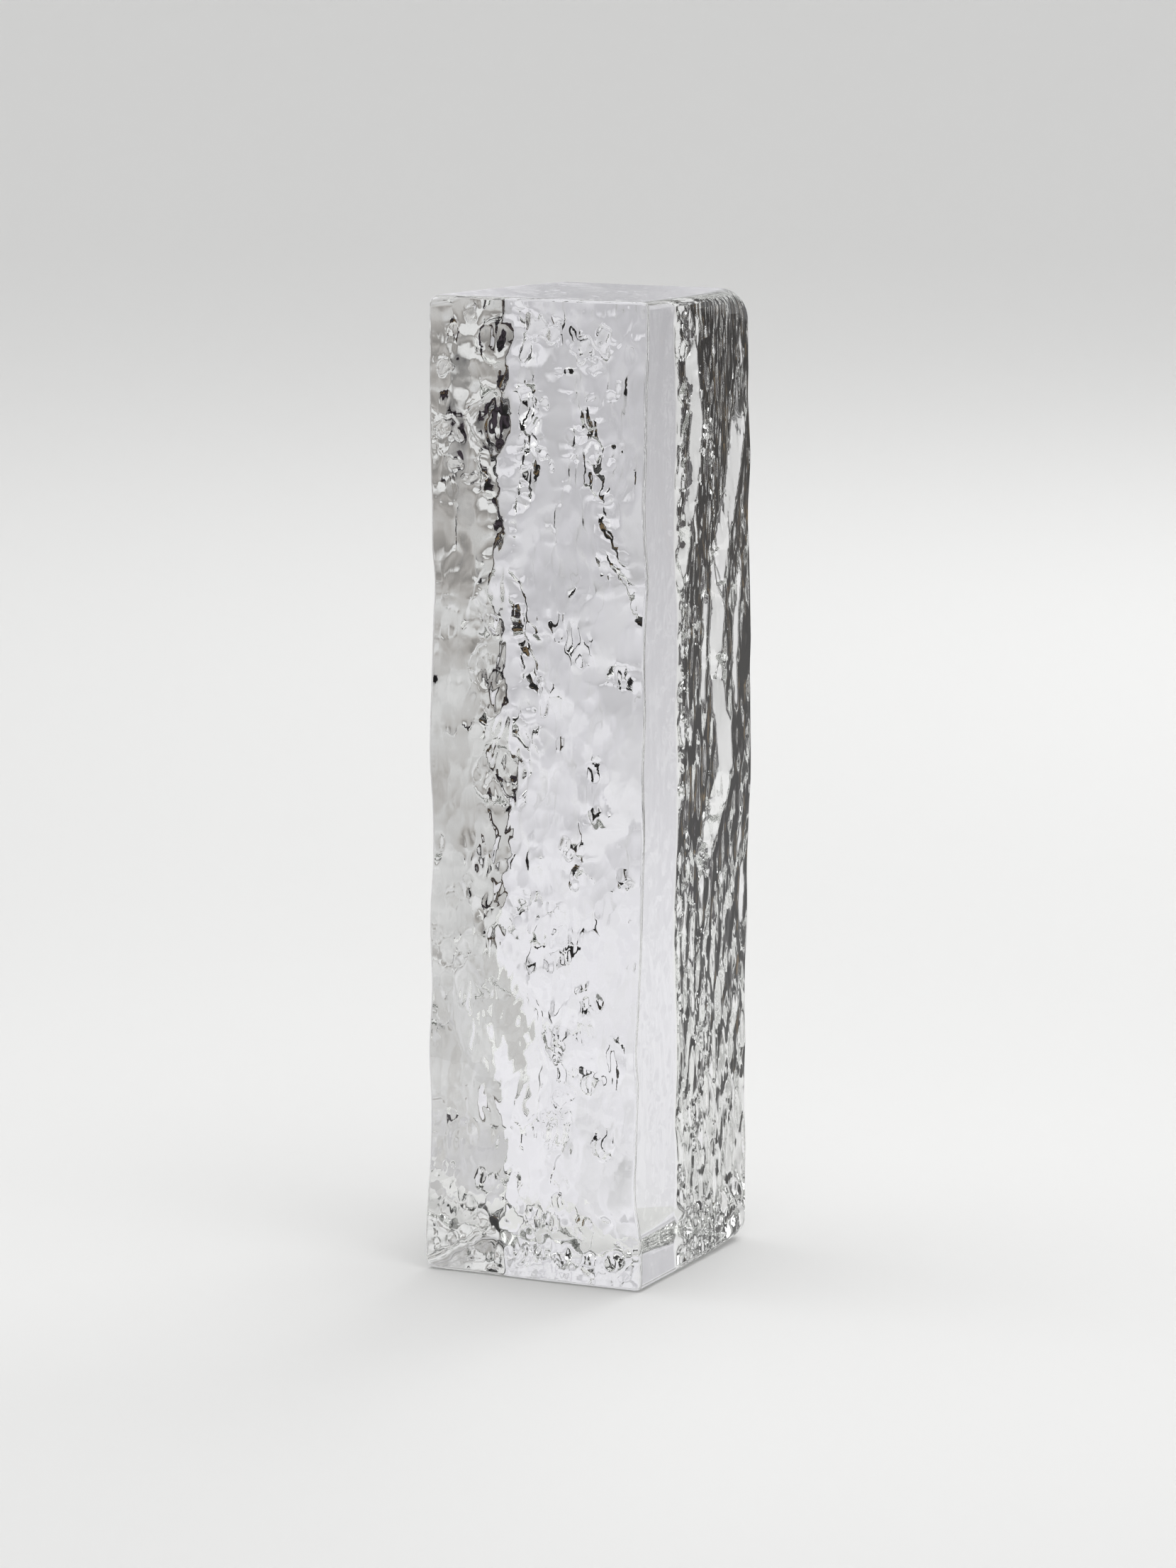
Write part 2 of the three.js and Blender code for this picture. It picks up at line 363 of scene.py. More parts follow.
# Dents in the front face that tip up towards the light:
# (x, z, half width, half height, turn in degrees, slope)
TILTED = [
    (-18.1, 245.6, 1.6, 2.1, 8, 0.26), (0.2, 242.6, 3.0, 3.4, 20, 0.27),
    (4.6, 241.4, 1.9, 2.6, -10, 0.24), (13.2, 237.6, 3.2, 3.0, -35, 0.26),
    (18.0, 240.0, 2.6, 3.2, -30, 0.25), (16.5, 234.0, 2.4, 2.0, 15, 0.22),
    (-25.8, 232.6, 2.2, 2.2, 10, 0.25), (-25.0, 217.0, 4.0, 2.2, -6, 0.24),
    (-23.2, 208.0, 2.2, 1.6, 0, 0.26), (-18.6, 204.6, 2.4, 1.3, 12, 0.26),
    (2.4, 224.2, 1.0, 1.5, 20, 0.26), (1.8, 211.8, 1.3, 1.8, 0, 0.25),
    (4.2, 208.6, 0.6, 1.2, 0, 0.28), (14.8, 226.0, 1.4, 1.0, 30, 0.28),
    (22.4, 228.6, 0.9, 1.6, 0, 0.24), (20.4, 226.6, 1.6, 1.3, 0, 0.22),
    (6.0, 232.0, 1.6, 1.0, -20, 0.2), (23.5, 215.0, 1.1, 1.8, 10, 0.2),
    (11.2, 103.0, 0.9, 1.1, 0, 0.28), (9.0, 112.0, 1.6, 2.4, 25, 0.24),
    (-12.4, 168.0, 2.0, 2.2, 30, 0.2), (2.0, 150.0, 1.4, 4.0, 10, 0.14),
]


# Crumpled areas of the front face: (x, z, half width, half height, slope)
CRUMPLED = [
    (-23.1, 235.3, 6.1, 8.1, 0.07), (-25.2, 206.8, 5.3, 10.8, 0.07), (11.7, 241.9, 8.1, 7.2, 0.08),
    (22.5, 242.3, 6.1, 9.0, 0.08), (9.0, 165.9, 8.1, 10.8, 0.06), (18.7, 212.5, 5.3, 10.8, 0.05),
    (25.7, 184.7, 4.4, 10.8, 0.05), (4.3, 88.0, 7.3, 16.1, 0.08), (4.3, 67.9, 8.1, 16.1, 0.08),
    (21.2, 102.3, 7.3, 7.2, 0.06), (13.5, 46.9, 12.1, 10.8, 0.08), (-23.3, 31.6, 6.1, 9.0, 0.08),
    (25.5, 59.2, 5.3, 10.8, 0.05), (-23.2, 163.8, 6.1, 14.3, 0.04),
]


def front_field():
    h = rough(11, 9, 18, 0.014) + rough(12, 4.0, 7, 0.014)
    h += divider_relief(h + broad(FRONT_LEFT_EDGE, FRONT_RIGHT_EDGE, FRONT_SWELL, X, Z))
    h += rough(13, 1.8, 3.0, 0.008)
    low = 1 - 0.65 * smoothstep(120, 180, Z)
    h += low * (creases(31, 5.0, 9.0, 0.030) + creases(32, 3.0, 4.6, 0.030))
    ragged, grain = rough(16, 2.2, 2.6, 1.0), rough(17, 1.9, 2.4, 0.07)
    ragged /= ragged.std()
    for x, z, rx, rz, turn, slope in TILTED:
        c, s = math.cos(math.radians(turn)), math.sin(math.radians(turn))
        u, w = ((X - x) * c + (Z - z) * s) / rx, ((Z - z) * c - (X - x) * s) / rz
        here = 1 - smoothstep(0.7, 1.15, np.hypot(u, w) + 0.22 * ragged)
        h -= blur(here * (slope * rz * w - grain), 0.12)
    crumple = np.zeros_like(X)
    for x, z, rx, rz, slope in CRUMPLED:
        near = 1 - smoothstep(0.5, 1.2, np.hypot((X - x) / rx, (Z - z) / rz) + 0.2 * ragged)
        crumple = np.maximum(crumple, slope * near)
    h += blur(crumple, 0.5) * rough(18, 3.0, 5.0, 0.7)
    # crumpled where the cold mould's foot met it
    foot = np.exp(-((np.maximum(Z - 2, 0) / 9.0) ** 2))
    h += foot * (from_slope(blur(facets(14, 8.0, 5.0, 0.1, -0.1, 0.5), 0.6), 0.3, 25) + rough(15, 4.0, 3.2, 0.02))
    return h


# Folds in the back face, seen through the front as dark lines:
# (slope, half width, closed, points). FOLDS are steps down towards +x, and
# FOLDS_LEFT, seen in the left side's mirror image, steps up. Then small dents:
# (depth, half width, half height, x, z).
FOLDS = [
    (0.54, 0.32, False, [(-29.9, 181.5), (-28.9, 180), (-27.4, 178.5)]),
    (0.54, 0.44, False, [(-29.9, 180.6), (-29.3, 179.1)]),
    (0.54, 0.3, False, [(-29.2, 214.7), (-28, 216.6), (-27.8, 217.4)]),
    (0.54, 0.32, False, [(-23.4, 218.5), (-25.4, 214.6)]),
    (0.54, 0.3, False, [
        (-19.9, 223.2), (-19.7, 221.9), (-21, 221.5), (-21.2, 220.8), (-21, 220.1), (-20.6, 219.5),
        (-20.1, 219.1), (-19.3, 218.9),
    ]),
    (0.54, 0.42, False, [
        (-19.4, 218.8), (-19.2, 218.6), (-18.1, 213.4), (-18.2, 212.5), (-19.1, 210.3), (-19, 210.5),
    ]),
    (0.54, 0.34, False, [(-23.3, 212.8), (-20.8, 210.8), (-20.2, 210.7), (-19.8, 210.9)]),
    (0.54, 0.3, False, [
        (-24.4, 212.8), (-23, 210.9), (-22.9, 210.4), (-23.2, 209.4), (-24.6, 207.6), (-24.8, 206.5),
        (-24.7, 205.1),
    ]),
    (0.54, 0.44, False, [(-29, 203.8), (-28.9, 205.2), (-27.5, 206.7)]),
    (0.54, 0.3, False, [
        (-16.3, 209.3), (-16.8, 208.8), (-16.7, 208.3), (-16.1, 208), (-14.5, 208.2), (-14.2, 207.8),
    ]),
    (0.54, 0.3, False, [
        (-17.2, 230.1), (-16.3, 229.5), (-16.6, 228.6), (-16.3, 227.9), (-15.7, 227.7), (-15.2, 227.9),
        (-14.7, 227.3),
    ]),
    (0.54, 0.4, False, [(-23.8, 226.5), (-23.3, 225.1)]),
    (0.54, 0.3, False, [(-14.3, 216.3), (-14.4, 215), (-14.3, 213.5), (-13.8, 210.2), (-13.3, 209)]),
    (0.54, 0.48, False, [(-29.2, 205.1), (-28.9, 203.6)]),
    (0.64, 0.68, False, [
        (-17.9, 1.6), (-17.8, 1.9), (-18.1, 2.2), (-20.5, 3.7), (-20.7, 4.2), (-20.7, 4.9), (-21.3, 5.3),
        (-20.6, 5.5), (-19.7, 5.4),
    ]),
    (0.64, 0.68, False, [
        (-18.3, 5.2), (-16.8, 5.3), (-16.3, 5.8), (-15.9, 5.9), (-14.4, 5.6), (-13.9, 5.3), (-13.9, 5.1),
        (-14.8, 4.9), (-14.4, 4.8), (-14.1, 3.1),
    ]),
    (0.64, 0.68, False, [(-18.5, 1), (-16.7, 0.9), (-18.5, 0.5), (-19.9, 0.4), (-18.6, 1)]),
    (0.64, 0.68, False, [(-15.8, 2.1), (-14.4, 2.6), (-12.6, 2.6), (-11.2, 3.2), (-10.4, 2.6), (-8.9, 0)]),
    (0.64, 0.68, False, [
        (-27.7, 0.8), (-26.7, 1), (-23.7, 0.1), (-22, 0.5), (-21.6, 0.9), (-22.2, 1.6), (-22.4, 2.6),
        (-22.2, 3.2), (-21.3, 4.2),
    ]),
    (0.54, 0.6, False, [(-27.8, 0.1), (-25.8, 2.5), (-24.5, 3.7), (-24.1, 4.5), (-21.9, 5.9), (-23.1, 5.4)]),
    (0.54, 0.6, False, [(-18.6, 3.3), (-17.6, 4.3), (-14.8, 6.2), (-15.4, 6.1)]),
    (0.54, 0.36, False, [
        (-10.3, 1), (-10.4, 1.9), (-9.7, 2.5), (-10.3, 2.8), (-10.9, 3.3), (-12.5, 5.6), (-12.8, 6.5),
        (-12.8, 7.6),
    ]),
    (0.64, 0.44, False, [
        (-5.6, 2.4), (-6.1, 2), (-6.5, 1.9), (-5.9, 0.7), (-5.5, 0.4), (-5, 0.8), (-4.5, 2.3), (-5.1, 3.3),
        (-5.6, 5.5),
    ]),
    (0.64, 0.48, False, [
        (-7.3, 9.7), (-6.2, 8), (-5.8, 6.6), (-3.8, 6.5), (-3.4, 6.6), (-3.4, 6.7), (-3.6, 6.7), (-0.5, 5.5),
    ]),
    (0.64, 0.48, False, [(1.6, 2.8), (1.2, 3.3), (0.8, 3.3), (1, 2.7), (2.7, 0.3), (3, 0.5), (3.6, 1.5)]),
    (0.54, 0.6, False, [(3.6, 1.8), (3.4, 0.8), (3.7, 0.4), (4.1, 0.4), (5.3, 1.7)]),
    (0.54, 0.6, False, [(6.2, 2.7), (7.4, 4.6), (7.7, 5.3), (7.5, 6.3), (7, 7.1), (6.4, 7.7)]),
    (0.54, 0.4, False, [(-29.9, 173.5), (-29.6, 172.6), (-29.8, 172.6)]),
    (0.54, 0.44, False, [
        (-28.9, 173.3), (-29.5, 171.7), (-27.2, 169.5), (-26.3, 166.7), (-26.6, 162.6), (-26.3, 159.9),
        (-25.8, 158.3),
    ]),
    (0.64, 0.6, False, [(-26.2, 168.7), (-25.7, 167.1), (-26.5, 165), (-26.4, 159.6)]),
    (0.54, 0.36, False, [
        (-27.4, 177.8), (-26.9, 177), (-26.5, 175.3), (-25.8, 174.1), (-23.2, 171.4), (-22.8, 167.3),
        (-22.1, 165.9), (-23.1, 161.2), (-23.6, 160.3), (-25.5, 157.9),
    ]),
    (0.64, 0.52, False, [(-25.8, 174.1), (-24.9, 173), (-23.3, 171.7)]),
    (0.54, 0.3, False, [(-24.7, 167.2), (-23.9, 166.2), (-23.6, 165.1), (-25.6, 162.4), (-26.2, 161.1)]),
    (0.54, 0.36, False, [
        (-25.6, 157.4), (-25.2, 156.6), (-25.2, 156), (-26.3, 151.2), (-26.2, 150.7), (-25.7, 150.1),
    ]),
    (0.64, 0.36, False, [(-23.5, 157.5), (-23.2, 154.9), (-21.4, 152.9), (-20.8, 152), (-20.4, 149.3)]),
    (0.64, 0.6, False, [(-24.7, 155.9), (-24.3, 153.5)]),
    (0.54, 0.9, False, [(-23.5, 148.6), (-22.4, 147.2), (-22.4, 145.5), (-22.7, 144.6)]),
    (0.64, 0.6, False, [
        (-21.2, 149.3), (-21.3, 148.8), (-23.1, 149.2), (-24.1, 149.1), (-25.2, 148.6), (-26, 147.7),
    ]),
    (0.54, 0.32, False, [(-29.1, 167.4), (-28.4, 167.2), (-28, 166.4)]),
    (0.54, 0.32, False, [(-28.5, 160.6), (-29, 159.6), (-29.8, 158.9)]),
    (0.54, 0.3, False, [(-30, 144.3), (-29.5, 142.4), (-30, 142.2)]),
    (0.54, 0.48, False, [(-30, 135.7), (-29.8, 135.2)]),
    (0.54, 0.3, False, [(-30, 125.7), (-29.5, 125.7), (-29.9, 125.4)]),
    (0.54, 0.44, False, [(-29.8, 127.3), (-29.3, 127.8), (-29.9, 127.3)]),
    (0.54, 0.44, False, [(-29.9, 125.6), (-29.5, 124.3), (-29.5, 123.9), (-29.8, 123.8)]),
    (0.54, 0.44, False, [(-29.9, 118.9), (-29.5, 118.3), (-29.7, 117.5)]),
    (0.54, 0.8, False, [(-25.7, 132.8), (-26.8, 130.8)]),
    (0.54, 0.52, False, [(-21.7, 133.9), (-20.6, 135)]),
    (0.54, 0.3, False, [(-21.4, 166.3), (-21.8, 166), (-21.8, 165.4), (-20.4, 161.8), (-20.2, 159.4)]),
    (0.54, 0.4, False, [(-14.7, 167.3), (-15.9, 163.5), (-15.8, 162.8), (-15.1, 162.1)]),
    (0.54, 0.36, False, [
        (-12.2, 168.2), (-11.6, 164.9), (-10.8, 164.4), (-7.9, 163.4), (-7.2, 162.6), (-7, 161.7),
        (-6.9, 160.6), (-7.6, 158.6), (-9, 156.4), (-9.5, 156.6), (-9.8, 156.4), (-9.7, 154.5), (-8.6, 150.9),
    ]),
    (0.54, 0.44, False, [(-14.2, 159.5), (-13.4, 157.1)]),
    (0.54, 0.3, False, [(-14.8, 147.6), (-15.4, 144.8), (-15, 143.1)]),
    (0.54, 0.3, False, [(-13.9, 133.3), (-13.9, 131.4)]),
    (0.54, 0.4, False, [(-9.8, 173.2), (-10.5, 171.3)]),
    (0.54, 0.42, False, [
        (-12.9, 213.9), (-11.4, 214), (-12, 212.2), (-12.3, 212.2), (-13, 213), (-12.9, 213.9),
    ]),
    (0.54, 0.6, False, [(-11.8, 212.2), (-10.9, 211.1), (-8.6, 209.7)]),
    (0.54, 0.6, False, [
        (-7.8, 218.6), (-8.3, 217.2), (-8, 215.9), (-6.6, 213.1), (-5.3, 211.4), (-4.7, 212.4), (-5.9, 215),
        (-6.4, 216.7), (-6.6, 218.5), (-6.8, 218.7), (-7.8, 218.6),
    ]),
    (0.54, 0.4, False, [(-4.5, 216.2), (-4.2, 214.4), (-3.1, 212.5), (-3.4, 211.3), (-2.2, 209.9)]),
    (0.54, 0.7, False, [(-2.2, 209.9), (-0.3, 208.6), (-0.2, 208.2), (-0.8, 207)]),
    (0.54, 0.45, False, [
        (-6.3, 209.5), (-6.3, 208.5), (-5.3, 205.8), (-5.3, 203.9), (-4.8, 200.3), (-4.3, 199.7),
        (-0.8, 197.2), (0.3, 197), (1.6, 196.1),
    ]),
    (0.54, 0.42, False, [
        (-0.8, 207), (-1.2, 205.2), (-0.7, 204), (0.2, 202.2), (1.1, 199.9), (1.2, 199.2), (0.7, 198),
        (1.8, 195.9),
    ]),
    (0.54, 0.5, False, [(-4.2, 206.7), (-2.8, 205.8), (-1.1, 203.9)]),
    (0.54, 0.6, False, [(1.1, 195.5), (1.4, 194.3), (1.4, 193.1)]),
    (0.54, 0.4, False, [
        (0.1, 192.6), (0.7, 192.8), (0.9, 192.4), (0.8, 191.9), (0.2, 191.2), (-0.2, 191.5), (0.1, 192.6),
    ]),
    (0.64, 0.8, False, [(0.5, 191.3), (1.1, 189.4)]),
    (0.54, 0.5, False, [
        (0.5, 190.2), (1.2, 188.4), (2.1, 187.3), (2.3, 186.7), (3.1, 185.7), (2.7, 185), (2.8, 184.6),
        (3.9, 182.7),
    ]),
    (0.54, 0.42, False, [(1.9, 189.9), (2.6, 188.3), (2.4, 187.4), (2.9, 186.4)]),
    (0.54, 0.45, False, [
        (0.4, 185.3), (0, 184.1), (0.2, 180.9), (1, 177.6), (1.8, 175.2), (2.9, 173), (4.7, 170.8),
        (5.1, 169.8), (7.2, 167.2),
    ]),
    (0.64, 0.8, False, [(1.1, 181.7), (1.9, 179.5), (4.2, 176.5), (5.5, 173.7)]),
    (0.54, 0.4, False, [(5, 170.4), (7.1, 167.7), (7.1, 165.7), (8.7, 163.6), (8.7, 161)]),
    (0.54, 0.5, False, [(-12.4, 229.4), (-12.4, 228.4), (-12, 227.8)]),
    (0.54, 0.4, False, [(-2.1, 227.3), (2.2, 227.5)]),
    (0.54, 0.4, False, [(-4.8, 159.6), (-4.6, 159.2), (-5.7, 153.5)]),
    (0.54, 0.5, False, [(4.6, 154.3), (2.7, 152.9), (1.6, 151.9), (0.3, 148.9)]),
    (0.54, 0.35, False, [(5.8, 153.4), (5.6, 152.7), (4.5, 151.3), (5.1, 150.6)]),
    (0.54, 0.4, False, [(7.1, 151.6), (5.5, 150), (4.9, 148.6)]),
    (0.54, 0.55, False, [(-2, 127.8), (-1.5, 126.4), (-1.6, 125.7), (-3.3, 123.4)]),
    (0.54, 0.4, False, [
        (-2.1, 116.9), (-1.8, 115.8), (-3, 114.5), (-3.3, 113.9), (-2.4, 112.2), (-4.5, 113.9), (-4, 114),
        (-3.5, 114.5), (-2.1, 116.9),
    ]),
    (0.54, 0.4, False, [(-9.1, 112.3), (-7.4, 110.5), (-7.5, 104.7)]),
    (0.54, 0.35, False, [(-9.8, 108.4), (-8.6, 108.4)]),
    (0.64, 0.7, False, [(-7.2, 102.6), (-6.5, 101.7)]),
    (0.64, 0.7, False, [(-7.9, 99), (-8.8, 98), (-8.7, 100.1)]),
    (0.64, 0.7, False, [(-8.8, 103.1), (-9.2, 104.9)]),
    (0.64, 0.9, False, [(-9.4, 105.4), (-8.7, 104.1)]),
    (0.54, 0.4, False, [(-9.2, 98.8), (-6.9, 96.6), (-9.1, 97.4), (-9.8, 98.2), (-9.2, 98.8)]),
    (0.54, 0.42, False, [(-22.6, 92.5), (-19.7, 88.9)]),
    (0.54, 0.4, False, [(-24.2, 89.2), (-23.9, 87.3), (-22.8, 85.6)]),
    (0.54, 0.42, False, [
        (-15.2, 88.5), (-14.1, 86.9), (-14.4, 86.5), (-15.4, 86.2), (-15.5, 86.3), (-15.3, 86.7),
    ]),
    (0.54, 0.4, False, [(4.6, 98.2), (4.6, 97.8), (5.8, 96.9), (7, 95.6)]),
    (0.54, 0.36, False, [
        (-20, 81.9), (-20.6, 81.5), (-20.4, 80.7), (-19.7, 79.7), (-18, 78.3), (-17.8, 77.9), (-18.7, 76.6),
        (-19, 74.7), (-20.5, 72.2), (-20.9, 71.9), (-21.8, 71.9), (-21.2, 70.6), (-21.4, 70.4), (-23.3, 70),
        (-24.9, 69.2),
    ]),
    (0.54, 0.5, False, [(-9.3, 81), (-8.9, 81.2), (-9, 81.4), (-10.1, 81.9)]),
    (0.54, 0.36, False, [(-11, 79.5), (-9.7, 79.6), (-10.2, 78.5), (-10.7, 78.6), (-12.4, 79.4), (-11, 79.5)]),
    (0.54, 0.5, False, [
        (-10.1, 77.8), (-10, 76.8), (-11.1, 75.2), (-13.2, 73.7), (-13.9, 73.6), (-14, 73.8), (-13.8, 74),
        (-13.3, 73.7),
    ]),
    (0.54, 0.5, False, [(-11.9, 73.4), (-13.3, 73.1), (-13.6, 73.2), (-13.5, 73.5)]),
    (0.54, 0.4, False, [
        (-17.2, 65.2), (-17.8, 64.8), (-18.3, 63.8), (-18.7, 61.4), (-18.5, 60.3), (-16.8, 57.8),
        (-16.8, 55.3), (-16.2, 53.1), (-15.8, 52.4), (-15, 52.1), (-13.9, 52.1), (-14.6, 52.4), (-14.3, 52.8),
        (-12.8, 51.4), (-10, 50.2), (-9.3, 49.4), (-9, 48.1),
    ]),
    (0.54, 0.48, False, [(-12.4, 64.4), (-12.1, 64), (-12.2, 63.7), (-14.2, 60.2), (-12.5, 59.1)]),
    (0.54, 0.48, False, [
        (-8.9, 56.4), (-7.9, 55.3), (-7.9, 55), (-9.3, 54.8), (-10, 54.4), (-11.5, 51.8), (-11.1, 52.1),
        (-10.1, 52.1), (-9.8, 50.8),
    ]),
    (0.54, 0.55, False, [(-3.5, 64.4), (-3.4, 63.5), (-2.5, 63.4), (-2.3, 63.1), (-2.9, 61.8)]),
    (0.54, 0.38, False, [(-4.6, 59.9), (-2.7, 56.7), (-1.9, 54.4), (-1.7, 54.1), (-1.5, 54.3), (-1.6, 54)]),
    (0.54, 0.5, False, [(-2.4, 48.9), (-2.4, 48.2), (-2.8, 47.2), (-2.3, 44.8), (-2.5, 43.9)]),
    (0.54, 0.45, False, [(-6.1, 47.7), (-6, 46.5), (-5.5, 45.5), (-4.8, 44.7), (-3.7, 44.4)]),
    (0.54, 0.38, False, [(-7.7, 49.5), (-8.6, 46.4), (-8.1, 38.3)]),
    (0.54, 0.46, False, [(-26.5, 39.1), (-25.3, 38.7)]),
    (0.54, 0.46, False, [(-22.8, 37.8), (-19.7, 36.7), (-17.9, 36.9)]),
    (0.54, 0.46, False, [(-13, 37.9), (-9.8, 37.4), (-12.1, 36.4), (-14.9, 34.5)]),
    (0.54, 0.36, False, [
        (-10.3, 36.6), (-11.3, 35.1), (-11.5, 33.9), (-11, 32.4), (-9.1, 30.1), (-11.1, 30.5), (-12.7, 30.3),
        (-13.3, 30), (-14.1, 29.2), (-14.3, 28.8), (-13.9, 28.3),
    ]),
    (0.54, 0.36, False, [(-21.9, 28.7), (-22.9, 29.5), (-22.8, 29.7), (-20.9, 29.6)]),
    (0.54, 0.36, False, [
        (-18.2, 29.8), (-16.3, 30.2), (-16.2, 30.1), (-15.3, 27.7), (-15.5, 27.3), (-16.4, 27), (-18.3, 27),
        (-20.2, 27.6), (-21.9, 28.7),
    ]),
    (0.54, 0.36, False, [
        (-15.6, 31.3), (-14.5, 30.3), (-13.8, 29.9), (-10.4, 29.5), (-9.7, 29.6), (-10.3, 30.1), (-11.1, 30.3),
        (-12.8, 30.4), (-13.2, 30), (-13.9, 28.4), (-13.9, 28.7),
    ]),
    (0.64, 0.6, False, [
        (-14.1, 28.9), (-13.8, 28.8), (-13.1, 26.8), (-11.7, 25.2), (-12.9, 24.3), (-13.2, 23.6),
        (-13.2, 22.9), (-13.7, 22.6),
    ]),
    (0.54, 0.55, False, [(-14.4, 26.6), (-15, 26.6), (-13.5, 25.9), (-13.3, 25.6), (-13.4, 25.3)]),
    (0.54, 0.36, False, [(-12.9, 22.6), (-11, 21.8), (-8.8, 21.8), (-8.2, 22.1)]),
    (0.54, 0.44, False, [
        (-13.1, 22.5), (-13.9, 21), (-14.3, 18), (-15.3, 15.2), (-15.2, 15.1), (-12.7, 15.8), (-12.3, 15.7),
        (-12.2, 14.7), (-11.6, 13), (-12.1, 11.9), (-13, 10.8),
    ]),
    (0.54, 0.5, False, [(-28.2, 85.2), (-28.1, 83.4), (-25.4, 79.7)]),
    (0.54, 0.5, False, [(-3.9, 86.4), (-3.3, 85.8), (-2.9, 84.6), (-5.1, 80.8)]),
    (0.54, 0.5, False, [
        (-23.8, 36.9), (-22.9, 31.9), (-22.7, 28.5), (-23.5, 25.4), (-23.6, 23.5), (-24.2, 22.2),
    ]),
    (0.54, 0.5, False, [
        (1.1, 30.6), (1.9, 29.6), (2.1, 28.7), (1.6, 26.8), (0.9, 25.8), (1.5, 25.1), (3, 23.9), (3.3, 21.7),
    ]),
    (0.54, 0.5, False, [(7.1, 52.9), (5.9, 53.5), (5.5, 53.1), (5.4, 50.8), (3.6, 44.8), (3.4, 40.7)]),
]
